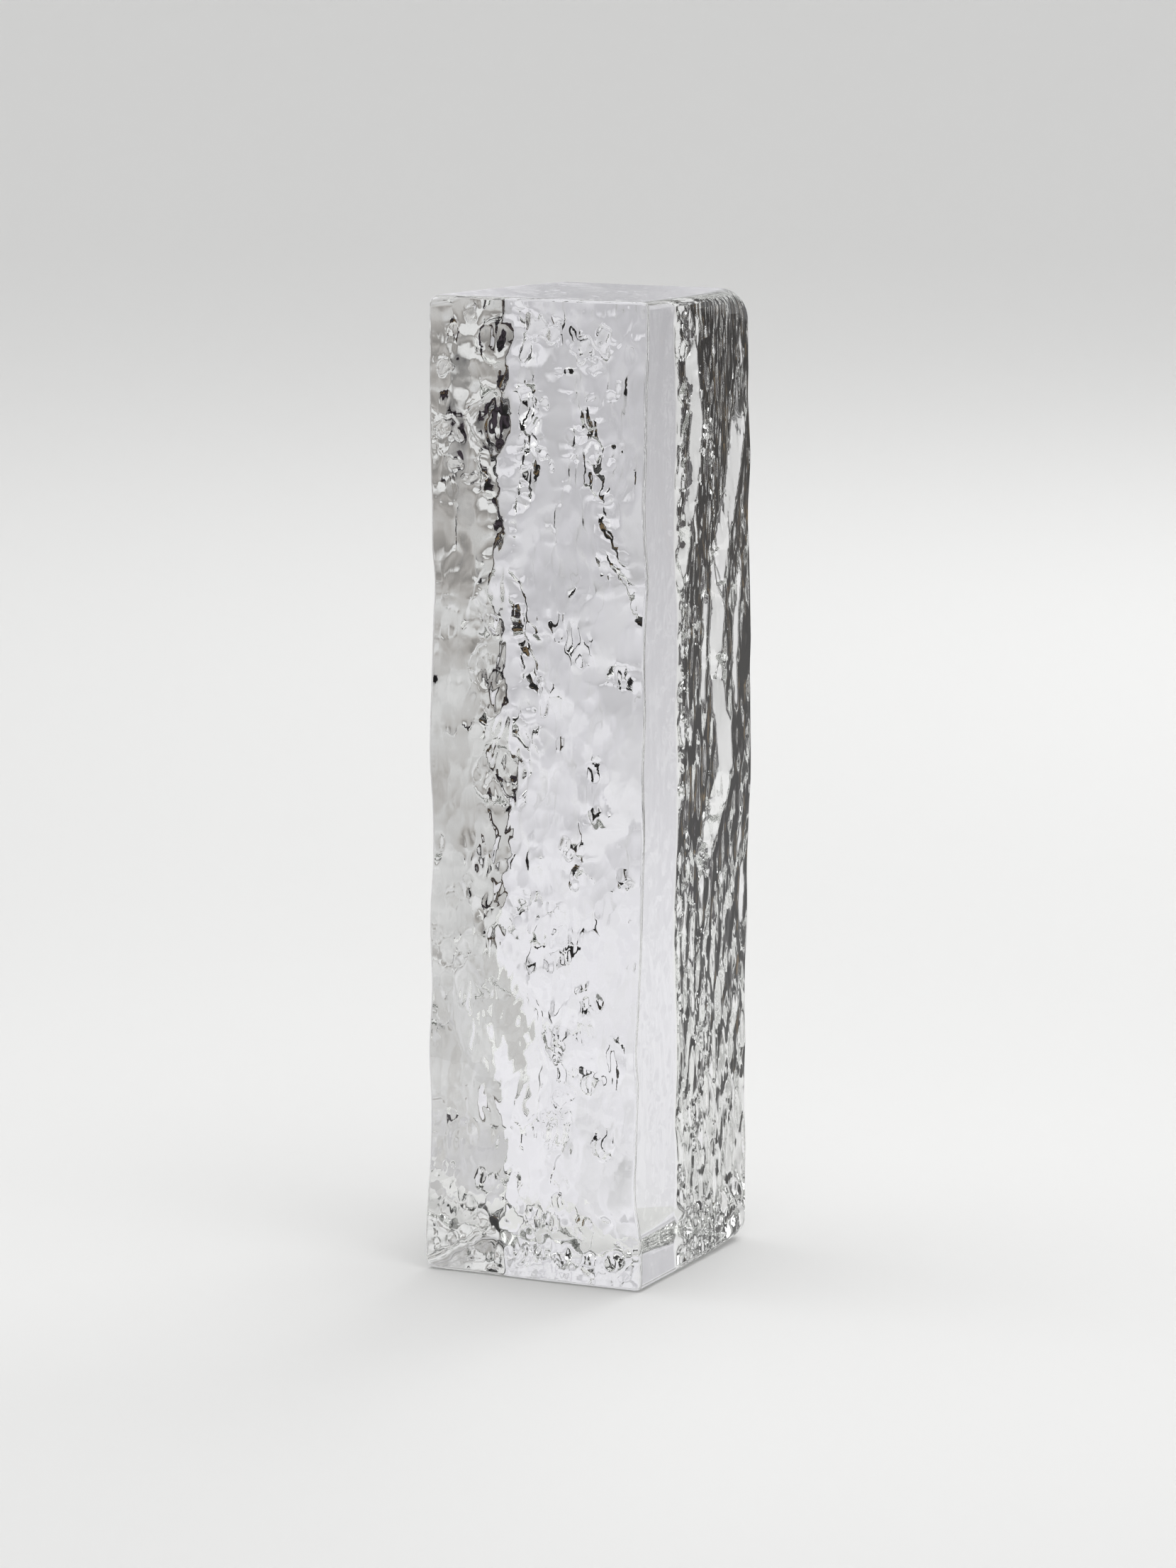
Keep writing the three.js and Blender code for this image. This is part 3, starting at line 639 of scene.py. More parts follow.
FOLDS_LEFT = [
    (0.54, 0.32, False, [
        (-14.5, 242.6), (-14.2, 242), (-14.1, 241.3), (-14.7, 239.5), (-14.6, 238.7), (-15.1, 235.4),
        (-15.8, 234.1), (-16.2, 233.9), (-17.5, 233.8), (-17.6, 234), (-15, 239.6), (-15.2, 242.3),
        (-15, 242.5), (-14.5, 242.6),
    ]),
    (0.64, 1.2, False, [(-25.8, 246), (-26, 245), (-25.8, 244.2), (-25.3, 243.6), (-22.1, 241.4)]),
    (0.64, 0.8, False, [(-22, 236.8), (-22.9, 235.4), (-23.9, 234.6), (-24.8, 233.7), (-25.7, 231.9)]),
    (0.54, 0.44, False, [
        (-27.5, 241.4), (-27.5, 240.6), (-27.8, 239.8), (-27.4, 238.9), (-27.4, 238.3), (-28.3, 237),
        (-28.4, 236.6), (-28.3, 235.6), (-27.3, 231.9), (-27.4, 231.6), (-27.9, 231.7),
    ]),
    (0.54, 0.8, False, [(-27.6, 240.8), (-28.1, 239), (-28.2, 237.4)]),
    (0.54, 0.48, False, [
        (-27.9, 231.7), (-28.1, 232.1), (-28.1, 232.7), (-28.7, 234.5), (-28.3, 235.4), (-28.8, 236),
        (-28.8, 236.3), (-28.2, 237.6),
    ]),
    (0.64, 1.2, False, [(-28.5, 236.8), (-28, 236.3), (-27.9, 235.6)]),
    (0.54, 1, False, [(-28.4, 237.2), (-28, 235.8), (-28.2, 234.5)]),
    (0.54, 0.44, False, [(-28.1, 235), (-28.7, 230.6)]),
    (0.54, 0.32, False, [(-28.7, 231.3), (-29.2, 222.6), (-29.5, 219.9)]),
    (0.54, 0.44, False, [
        (-27.4, 243.9), (-27.5, 243.6), (-28.7, 242.9), (-29.2, 242.2), (-29.5, 240.6), (-29.5, 239.1),
    ]),
    (0.64, 0.64, False, [(-18.5, 226.4), (-19, 225.4)]),
    (0.54, 0.3, False, [(-19.9, 226.4), (-20.7, 226.2), (-21, 225.9)]),
    (0.54, 0.8, False, [(-22.9, 224.6), (-25.4, 223), (-27.2, 221)]),
    (0.64, 0.4, False, [(-28.8, 226.6), (-28.4, 223.7)]),
    (0.54, 0.52, False, [
        (-29.5, 220.4), (-28.3, 219.8), (-27.5, 219.2), (-27.8, 219), (-28.5, 219.3), (-28.4, 219.1),
        (-28.9, 216.9), (-28.8, 216.3), (-28, 215.3), (-28, 215), (-27.9, 215.1), (-28.1, 214.4),
        (-28.2, 211.5), (-28, 208.1),
    ]),
    (0.54, 0.64, False, [
        (-29.5, 220.4), (-29.5, 219.4), (-28.8, 217.3), (-28.4, 215.1), (-28.6, 214.9), (-28.1, 212.6),
        (-28.6, 210.6), (-29.8, 208.8),
    ]),
    (0.54, 0.84, False, [(-28.3, 218.9), (-28.4, 217.5), (-28.1, 216.1), (-28.3, 215.3)]),
    (0.54, 0.44, False, [(-27.5, 218.2), (-27.9, 217.2), (-28.2, 215.2), (-27.9, 214.6), (-29.1, 210.2)]),
    (0.54, 0.32, False, [(-11.7, 223.2), (-12.1, 221.4), (-12.4, 221)]),
    (0.54, 0.32, False, [(-13.7, 220.4), (-13.9, 219.7), (-15, 221)]),
    (0.54, 0.32, False, [(-20.9, 221), (-21.1, 219.8)]),
    (0.54, 0.4, False, [(-16.1, 220.4), (-17.3, 218.6), (-20.2, 216.8), (-24.9, 213)]),
    (0.54, 0.32, False, [(-10.5, 207.2), (-10.1, 206.9), (-9.3, 208.2)]),
    (0.54, 0.32, False, [(-7.2, 212.6), (-7, 213.4), (-7.5, 213.7), (-8.7, 213.4)]),
    (0.54, 0.32, False, [(-11.1, 211.1), (-11.9, 210.9), (-12.7, 210.2), (-13, 210.9)]),
    (0.54, 0.32, False, [(-16.2, 214.5), (-17.2, 214.3), (-17.4, 213.5)]),
    (0.64, 0.6, False, [(-16, 208), (-15.6, 208.8)]),
    (0.64, 0.6, False, [(-13.8, 211.9), (-14.2, 212.8), (-15.4, 213.2)]),
    (0.64, 0.6, False, [(-16.7, 213.1), (-17.4, 213)]),
    (0.54, 0.6, False, [
        (-13.9, 209.7), (-14.2, 210.3), (-14.2, 210.8), (-13.9, 211), (-13.7, 210.5), (-13.9, 209.7),
        (-14.3, 208.9), (-15.6, 207.6), (-16.4, 207.2),
    ]),
    (0.54, 0.48, False, [(-14.4, 207.3), (-15, 206.7), (-15.3, 207.7)]),
    (0.64, 0.4, False, [(-12.7, 207.9), (-12.1, 208), (-12.1, 207)]),
    (0.54, 0.32, False, [
        (-16.6, 207.7), (-15.8, 205.8), (-16.3, 204.4), (-16.2, 203.8), (-15.6, 202.8), (-16.8, 202.9),
        (-19.3, 202.7), (-18.4, 202),
    ]),
    (0.54, 0.3, False, [
        (-22.4, 205.8), (-23.4, 204.8), (-25, 203.9), (-25.4, 203.1), (-25.4, 201.9), (-25.2, 201.1),
        (-23.8, 199.8),
    ]),
    (0.64, 0.84, False, [(-26.4, 203.5), (-26.7, 202.3), (-27.6, 199.8), (-27.2, 197.2)]),
    (0.64, 0.5, False, [(-24.3, 199.6), (-24.5, 197.6)]),
    (0.54, 0.32, False, [
        (-27.3, 207.8), (-26.6, 204.6), (-27.8, 200.6), (-27.7, 198), (-28.5, 196.2), (-29, 192.6),
    ]),
    (0.54, 0.32, False, [
        (-28.2, 208.8), (-28.3, 207.3), (-28.9, 205.4), (-29.1, 204.2), (-28.7, 198.1), (-28.9, 197.1),
        (-29.5, 195.6), (-29.6, 194.2), (-28.9, 189), (-30, 181.6),
    ]),
    (0.54, 0.3, False, [(-25.1, 212.8), (-26.4, 211.4), (-27.1, 209.3), (-27.2, 208.3)]),
    (0.54, 0.72, False, [(-14.6, 199.9), (-17.2, 198.2), (-18, 195.6)]),
    (0.54, 0.32, False, [(-12.7, 201.4), (-12.7, 200.3), (-13.2, 199.5)]),
    (0.54, 0.3, False, [
        (-14, 195.7), (-15.4, 194.2), (-16.4, 192.3), (-16.5, 191.2), (-16.3, 189.1), (-14.9, 186.3),
        (-15, 184.2), (-14.2, 183.2),
    ]),
    (0.54, 0.3, False, [(-20.1, 199.1), (-20.6, 196.9), (-20.7, 191.8), (-22.9, 190.1)]),
    (0.64, 0.44, False, [(-27.5, 196.2), (-27.9, 194.7)]),
    (0.54, 0.44, False, [(-19.1, 190.8), (-19.2, 190)]),
    (0.64, 0.32, False, [(-28.2, 190.4), (-28.1, 188.3)]),
    (0.54, 0.64, False, [(-24.7, 186.9), (-26.2, 184.9)]),
    (0.64, 0.52, False, [(-28.4, 186.1), (-28.5, 183.8), (-28.8, 182.3)]),
    (0.64, 0.4, False, [(-20, 184.2), (-22.1, 183.4), (-23.8, 182.3)]),
    (0.54, 0.44, False, [(-27.5, 183.1), (-29.9, 180.9)]),
    (0.54, 0.32, False, [(-28.6, 177.5), (-29.6, 174.3)]),
    (0.54, 0.6, False, [
        (-17.1, 9.9), (-17.3, 8.3), (-17.8, 7.4), (-19.9, 7.1), (-22.1, 7.1), (-23.3, 6.4), (-23.3, 5.6),
        (-24.2, 6.2), (-25.2, 7.2), (-26.4, 9.6), (-26.8, 9.8), (-27.3, 9.7),
    ]),
    (0.54, 0.52, False, [(-29.4, 6.8), (-28.9, 4.3), (-27.1, 2.5)]),
    (0.54, 0.52, False, [
        (-25.1, 15.5), (-25.2, 14.7), (-24.4, 13.5), (-24.3, 13), (-24.8, 12.3), (-25, 12.3), (-25.2, 12),
        (-26.2, 11.3),
    ]),
    (0.54, 0.48, False, [(-26.7, 16.4), (-26.8, 15.9), (-28, 14.3), (-28.3, 12.9)]),
    (0.54, 0.36, False, [
        (-29.3, 175.1), (-28.6, 174.3), (-28.3, 173.1), (-28.4, 171.6), (-28.3, 170.7), (-28.8, 169.3),
        (-29, 167.3),
    ]),
    (0.64, 0.8, False, [(-28.1, 159.5), (-28.5, 157.4), (-28.8, 157.1), (-29.3, 157.1), (-29.8, 157.4)]),
    (0.54, 0.32, False, [(-29.3, 158.2), (-27.4, 157.8), (-26.5, 158), (-25.6, 158.6), (-24.9, 159.5)]),
    (0.54, 0.32, False, [(-24.6, 160.8), (-24.8, 161.9)]),
    (0.54, 0.36, False, [(-19, 160.8), (-20, 159.8)]),
    (0.54, 0.48, False, [
        (-28.1, 150.6), (-28.7, 150.2), (-28.7, 148.9), (-28.5, 148.4), (-27.7, 147.6), (-28.1, 147.6),
        (-28.9, 147.2), (-29.5, 146.4),
    ]),
    (0.54, 0.36, False, [
        (-28.2, 151.7), (-27.7, 150.8), (-28.6, 150), (-28.6, 149.7), (-27.3, 147.3), (-28.9, 147.1),
    ]),
    (0.54, 0.3, False, [(-29.7, 145.7), (-29.9, 145)]),
    (0.54, 0.3, False, [(-29.9, 142), (-28.8, 141)]),
    (0.64, 0.32, False, [(-28.4, 141.5), (-28.5, 139.7), (-28, 139)]),
    (0.64, 1.1, False, [(-24.7, 136.6), (-24.9, 136.1), (-24.7, 135.2)]),
    (0.54, 0.48, False, [(-28.7, 138.9), (-29.7, 136.3)]),
    (0.54, 0.3, False, [(-29.7, 125), (-28, 123.6)]),
    (0.54, 0.36, False, [
        (-28.3, 122.8), (-28.7, 123.2), (-29, 122.6), (-28.6, 122.4), (-27.9, 122.4), (-27.1, 123.1),
        (-26.7, 123.2), (-26.8, 123), (-27.5, 122.7), (-28.3, 122.8),
    ]),
    (0.54, 0.44, False, [(-27.4, 123.5), (-30, 125.2)]),
    (0.54, 0.44, False, [
        (-29.9, 125.1), (-29.2, 124.8), (-28.5, 124.9), (-28.2, 125.4), (-27.9, 126.6), (-28.7, 127),
        (-29.9, 127.2),
    ]),
    (0.54, 0.44, False, [(-29.9, 127.2), (-29.6, 126.5), (-29.9, 125.9)]),
    (0.54, 0.44, False, [(-30, 123.7), (-29.2, 123.9), (-29.6, 121.1), (-29.5, 120.1), (-29.9, 119.2)]),
    (0.54, 0.44, False, [(-30, 117), (-28.5, 114.1), (-27.7, 113.1)]),
    (0.64, 0.72, False, [(-26.7, 119), (-26.7, 118.3), (-27.4, 117.1), (-27.5, 116.7), (-27.2, 115.4)]),
    (0.54, 0.5, False, [(-18.1, 33.3), (-18.5, 30.3), (-18.2, 29.6), (-17.8, 29.1), (-17.5, 27.7)]),
    (0.54, 0.42, False, [(-26, 89), (-25.6, 86.9), (-25.7, 86.4), (-27.3, 84.5)]),
    (0.54, 0.42, False, [(-27.3, 89.8), (-27.3, 89.5), (-26.5, 88.7), (-26.5, 88.1), (-27.8, 85.5)]),
    (0.54, 0.55, False, [(-26.8, 63.3), (-25.8, 62.8), (-27, 60.3), (-27.4, 59.9), (-27.9, 59.8)]),
    (0.54, 0.55, False, [(-28.8, 60.4), (-29, 60.7), (-28.8, 60.6), (-29.1, 59.9)]),
]
DENTS = [
    (1.3, 0.9, 1, -29.4, 239.2), (1.1, 0.7, 0.8, -7.3, 238.4), (1.1, 0.7, 0.7, -0.6, 233.6),
    (0.9, 0.6, 0.7, -2.4, 181.3), (0.8, 0.5, 0.6, -1.4, 177.6), (0.8, 0.4, 0.8, -10, 172.1),
    (0.6, 0.4, 0.5, -23.5, 225.8), (0.9, 0.5, 0.5, -23.8, 139.6), (1.2, 0.8, 0.9, -21.5, 134.1),
    (1.1, 1, 1.5, -25.6, 132.5), (0.6, 0.8, 1, -19.4, 132.6), (0.7, 0.5, 0.5, -2.1, 129.3),
    (1.2, 1, 1.2, -9.4, 93.9), (0.9, 0.8, 0.8, 6.6, 96), (0.6, 0.5, 0.4, -4.7, 97.1),
    (0.5, 0.4, 0.7, 2.7, 93.6), (0.7, 1, 1.5, -21.5, 104.9), (0.7, 1, 1.6, -20.8, 98.7),
    (0.7, 1, 1.6, -27.1, 81.3), (0.7, 1, 1.4, -27.5, 75.2), (1.2, 0.8, 1.2, -1.5, 43.8),
    (0.6, 0.4, 0.5, -9.9, 41.5), (0.5, 0.4, 0.4, -11, 36.9), (0.5, 0.4, 0.4, -23.8, 40.3),
    (1.1, 0.9, 1, -9.7, 25.3), (0.6, 0.5, 0.5, -13, 10.8), (0.6, 0.4, 0.5, 8.7, 73.4),
    (0.6, 0.5, 0.5, -5.4, 68.2), (0.6, 0.4, 0.4, 7.6, 86.1), (0.5, 0.4, 0.4, 1.4, 10.2),
    (1, 0.6, 1.2, -19.8, 160.1), (0.5, 0.35, 0.8, -21.1, 149.4), (1.3, 1.3, 1.5, -24.9, 135.9),
    (0.7, 0.5, 0.8, -18.5, 72.3), (0.9, 0.8, 1.2, -27.5, 99.5), (0.8, 0.6, 0.6, -26, 119.2),
    (1.2, 1.2, 1.4, -25.8, 14.4), (0.8, 0.7, 0.6, -26.9, 30.6), (0.7, 1, 1.4, -28.9, 28.1),
]

# Long slopes up the back face that show as light bands in the right side:
# (half width, points from the top)
BANDS = [
    (3.6, [
        (-26, 246), (-20, 238), (-17.5, 228), (-15.4, 218), (-15.6, 208.4), (-18, 197.3), (-22.5, 186.5), (-27, 177),
        (-32, 166),
    ]),
    (4.1, [
        (24, 232), (22, 222), (19.4, 214.7), (15.3, 203.6), (12.6, 196.3), (6, 183.2), (3.2, 173.9),
        (1.9, 164.3), (1.2, 155.3), (2.2, 147), (4.8, 140), (7.6, 133), (8.4, 126), (6.5, 120), (2, 115),
        (-2.5, 108.5), (-6.5, 100), (-8.5, 90),
    ]),
    (1.6, [(-4, 172), (-5.6, 164.8), (-6.6, 158.9), (-7.6, 149.5), (-9, 140)]),
    (1.5, [(20, 178), (17, 166), (15, 150), (17, 138)]),
]


# Share of the back that rises steeply towards +x: (z, share)
STEEP_SHARE = [(0, 0.4), (60, 0.42), (110, 0.38), (150, 0.25), (185, 0.17), (215, 0.11), (250, 0.09)]


def back_field():
    bands = np.zeros_like(X)
    for width, points in BANDS:
        window, distance, along, _, _ = to_path(points, False, width + 2)
        core = 1 - smoothstep(width - 0.8, width + 0.8, distance)
        bands[window] = np.maximum(bands[window], core * smoothstep(0, 0.08, along) * smoothstep(0, 0.12, 1 - along))
    calm = 1 - 0.95 * bands
    clear = bands * smoothstep(172, 182, Z) * (1 - smoothstep(-12, -9, X))
    share = np.interp(Z, *zip(*STEEP_SHARE))
    left = facets(21, 3.2, 10, 0.31, -0.16, share)
    right = facets(22, 4.6, 6.5, 0.45, -0.22, share)
    slope = left + (right - left) * smoothstep(6, 12, X)
    edge = 1 - smoothstep(-24, -21.5, X) * 1.0
    slope *= calm * (1 - edge * smoothstep(160, 172, Z))
    target, hold = np.zeros_like(X), np.zeros_like(X)
    for folds, turn in ((FOLDS, -1), (FOLDS_LEFT, 1)):
        for steep, width, closed, points in folds:
            window, distance, along, upright, _ = to_path(points, closed, width + 1.0)
            ends = 1.0 if closed else smoothstep(0, 0.08, along) * smoothstep(0, 0.08, 1 - along)
            core = (1 - smoothstep(width - 0.1, width + 0.25, distance)) * ends * np.minimum(2.2 * upright, 1)
            core *= 1 - clear[window]
            target[window] += core * (turn * steep - target[window])
            hold[window] = np.maximum(hold[window], core)
    slope *= 1 - hold
    bands *= 1 - hold
    h = from_slope(blur(slope, 0.25), 1.5, 25)
    h += from_slope(0.5 * blur(bands, 0.4), 0.05, 60)
    h += (1 - 0.8 * hold) * (0.15 + 0.85 * calm) * (0.6 + 0.8 * smoothstep(150, 190, Z)) * rough(23, 1.2, 5.0, 0.08)
    for depth, rx, rz, x, z in DENTS:
        r2 = ((X - x) / rx) ** 2 + ((Z - z) / rz) ** 2
        h -= min(depth, 1.2 * rx) * np.exp(-0.5 * r2)
    foot = np.exp(-((np.maximum(Z - 2, 0) / 4.0) ** 2)) * (1 - smoothstep(6, 12, X))
    h += foot * from_slope(blur(facets(24, 9.0, 6.0, 0.18, -0.18, 0.5), 0.8), 0.3, 25)
    foot = np.exp(-((np.maximum(Z - 6, 0) / 10.0) ** 2)) * smoothstep(6, 12, X)
    h += foot * (from_slope(blur(facets(25, 9.0, 4.5, 0.6, -0.5, 0.5), 0.5), 0.3, 25) - 0.8 * (h - blur(h, 1.5)))
    # the folds' slopes, made up to their full steepness step by step
    swell = broad(BACK_LEFT_EDGE, BACK_RIGHT_EDGE, BACK_SWELL, X, Z)
    fade = rim_fade(np.clip(np.minimum(WIDTH / 2 - np.abs(X), np.minimum(Z, HEIGHT - Z)), 0, None), 0.35)
    drive, pleats = np.zeros_like(X), np.zeros_like(X)
    for _ in range(8):
        drive += hold * (target - np.gradient(swell + fade * (h + pleats), STEP, axis=0))
        pleats = from_slope(blur(drive, 0.12), 0.12, 25)
    return h + pleats


FRONT_FIELD, BACK_FIELD = front_field(), back_field()


def front_out(x, z, inset):
    return (
        broad(FRONT_LEFT_EDGE, FRONT_RIGHT_EDGE, FRONT_SWELL, x, z)
        + rim_fade(inset, 0.25) * sample(FRONT_FIELD, x, z)
    )


def back_out(x, z, inset):
    return (
        broad(BACK_LEFT_EDGE, BACK_RIGHT_EDGE, BACK_SWELL, x, z)
        + rim_fade(inset, 0.35) * sample(BACK_FIELD, x, z)
    )


# --------------------------------------------------------------------------
# The glass body's mesh: two rough faces, joined by rings of flats. A rough
# face is a grid of cells, each split finer where its relief is sharper.
# --------------------------------------------------------------------------
FILLET_STEPS = 4
NX, NZ = 46, 196  # cells across and up a rough face, inside its fillets
RINGS = np.array([0, 0.006, 0.45, 0.75, 0.9, 0.985, 1.0])
FINE_CELLS = {0: (500, 5600), 1: (1900, 5200)}  # split in 4 x 4, and in 2 x 2


def lines(length, radius, spans):
    k = np.arange(FILLET_STEPS)
    start = radius * (1 - np.cos(k / FILLET_STEPS * np.pi / 2))
    mid = radius + (length - 2 * radius) * np.arange(spans + 1) / spans
    return np.concatenate([start, mid, (length - start)[::-1]])


def corner_radius(x, z, back):
    r = np.zeros_like(x)
    for (sx, sz), (rf, rb) in CORNER_R.items():
        here = ((x > 0) == (sx > 0)) & ((z > 0) == (sz > 0))
        r = np.where(here, rf + (rb - rf) * back**CORNER_GROWTH, r)
    return r


def in_outline(x, z, r):
    """Moves square-grid points into the rounded outline: x, z, inset, normal."""
    ox = np.abs(x) - (WIDTH / 2 - r)
    oz = np.abs(z) - (HEIGHT / 2 - r)
    corner = (ox > 0) & (oz > 0)
    most = np.maximum(ox, oz)
    length = np.where(corner, np.hypot(ox, oz), 1)
    scale = np.where(corner, most / length, 1)
    px = np.where(corner, np.sign(x) * (WIDTH / 2 - r + ox * scale), x)
    pz = np.where(corner, np.sign(z) * (HEIGHT / 2 - r + oz * scale), z)
    inset = np.where(
        corner, r - most, np.minimum(WIDTH / 2 - np.abs(x), HEIGHT / 2 - np.abs(z))
    )
    nx = np.where(corner, np.sign(x) * ox / length, np.where(ox > oz, np.sign(x), 0.0))
    nz = np.where(corner, np.sign(z) * oz / length, np.where(ox > oz, 0.0, np.sign(z)))
    return px, pz, inset, nx, nz


def drop(inset, radius):
    t = np.clip(radius - inset, 0, radius)
    return radius - np.sqrt(np.maximum(radius**2 - t**2, 0))


def cell_levels(field, finest, finer):
    """0, 1 or 2 for each cell: how often it is halved, by its sharpness."""
    dx, dz = np.gradient(field, STEP)
    bend = np.hypot(np.gradient(dx, STEP, axis=0), np.gradient(dz, STEP, axis=1))
    bend = np.maximum(bend, np.abs(np.gradient(dx, STEP, axis=1)))
    xs = np.linspace(-WIDTH / 2, WIDTH / 2, NX + 1)
    zs = np.linspace(0, HEIGHT, NZ + 1)
    sharp = np.zeros((NX, NZ))
    for i in range(NX):
        a, b = np.searchsorted(GX, (xs[i], xs[i + 1]))
        strip = bend[a : b + 1].max(0)
        for j in range(NZ):
            c, d = np.searchsorted(GZ, (zs[j], zs[j + 1]))
            sharp[i, j] = strip[c : d + 1].max()
    order = np.argsort(-sharp, axis=None, kind="stable")
    level = np.zeros(NX * NZ, int)
    level[order[:finer]] = 1
    level[order[:finest]] = 2
    level = level.reshape(NX, NZ)
    level[[1, -2]] = np.minimum(level[[1, -2]], 1)
    level[:, [1, -2]] = np.minimum(level[:, [1, -2]], 1)
    level[[0, -1]] = 0
    level[:, [0, -1]] = 0
    # beside a cell split in 4 x 4 there is none left whole
    two = np.pad(level == 2, 1)
    beside = two[:-2, 1:-1] | two[2:, 1:-1] | two[1:-1, :-2] | two[1:-1, 2:]
    return np.where(beside & (level == 0), 1, level)


def face_cells(level):
    """Quads and triangles over the cells, as (column, row) pairs of the finest
    grid. A cell beside a finer one is a fan about its middle."""
    quads, triangles = [], []
    i, j = np.meshgrid(np.arange(NX), np.arange(NZ), indexing="ij")
    parts = []
    for value, n in ((0, 1), (1, 2), (2, 4)):
        here = level == value
        size = 4 // n
        for a in range(n):
            for b in range(n):
                parts.append(
                    np.stack([i[here] * 4 + a * size, j[here] * 4 + b * size, np.full(here.sum(), size)], 1)
                )
    parts = np.concatenate(parts)
    used = np.zeros((NX * 4 + 1, NZ * 4 + 1), bool)
    c, r, s = parts.T
    corners = [(c, r), (c + s, r), (c + s, r + s), (c, r + s)]
    for cc, rr in corners:
        used[cc, rr] = True
    half = s // 2
    middles = [(c + half, r), (c + s, r + half), (c + half, r + s), (c, r + half)]
    split = np.stack([used[cc, rr] & (s > 1) for cc, rr in middles], 1)
    whole = ~split.any(1)
    quads = np.stack([np.stack(p, -1)[whole] for p in corners], 1)
    fan = ~whole
    centre = np.stack([c + half, r + half], -1)
    for k in range(4):
        a, b = np.stack(corners[k], -1), np.stack(corners[(k + 1) % 4], -1)
        m = np.stack(middles[k], -1)
        cut = fan & split[:, k]
        triangles.append(np.stack([centre[cut], a[cut], m[cut]], 1))
        triangles.append(np.stack([centre[cut], m[cut], b[cut]], 1))
        plain = fan & ~split[:, k]
        triangles.append(np.stack([centre[plain], a[plain], b[plain]], 1))
    return quads + FILLET_STEPS, np.concatenate(triangles) + FILLET_STEPS


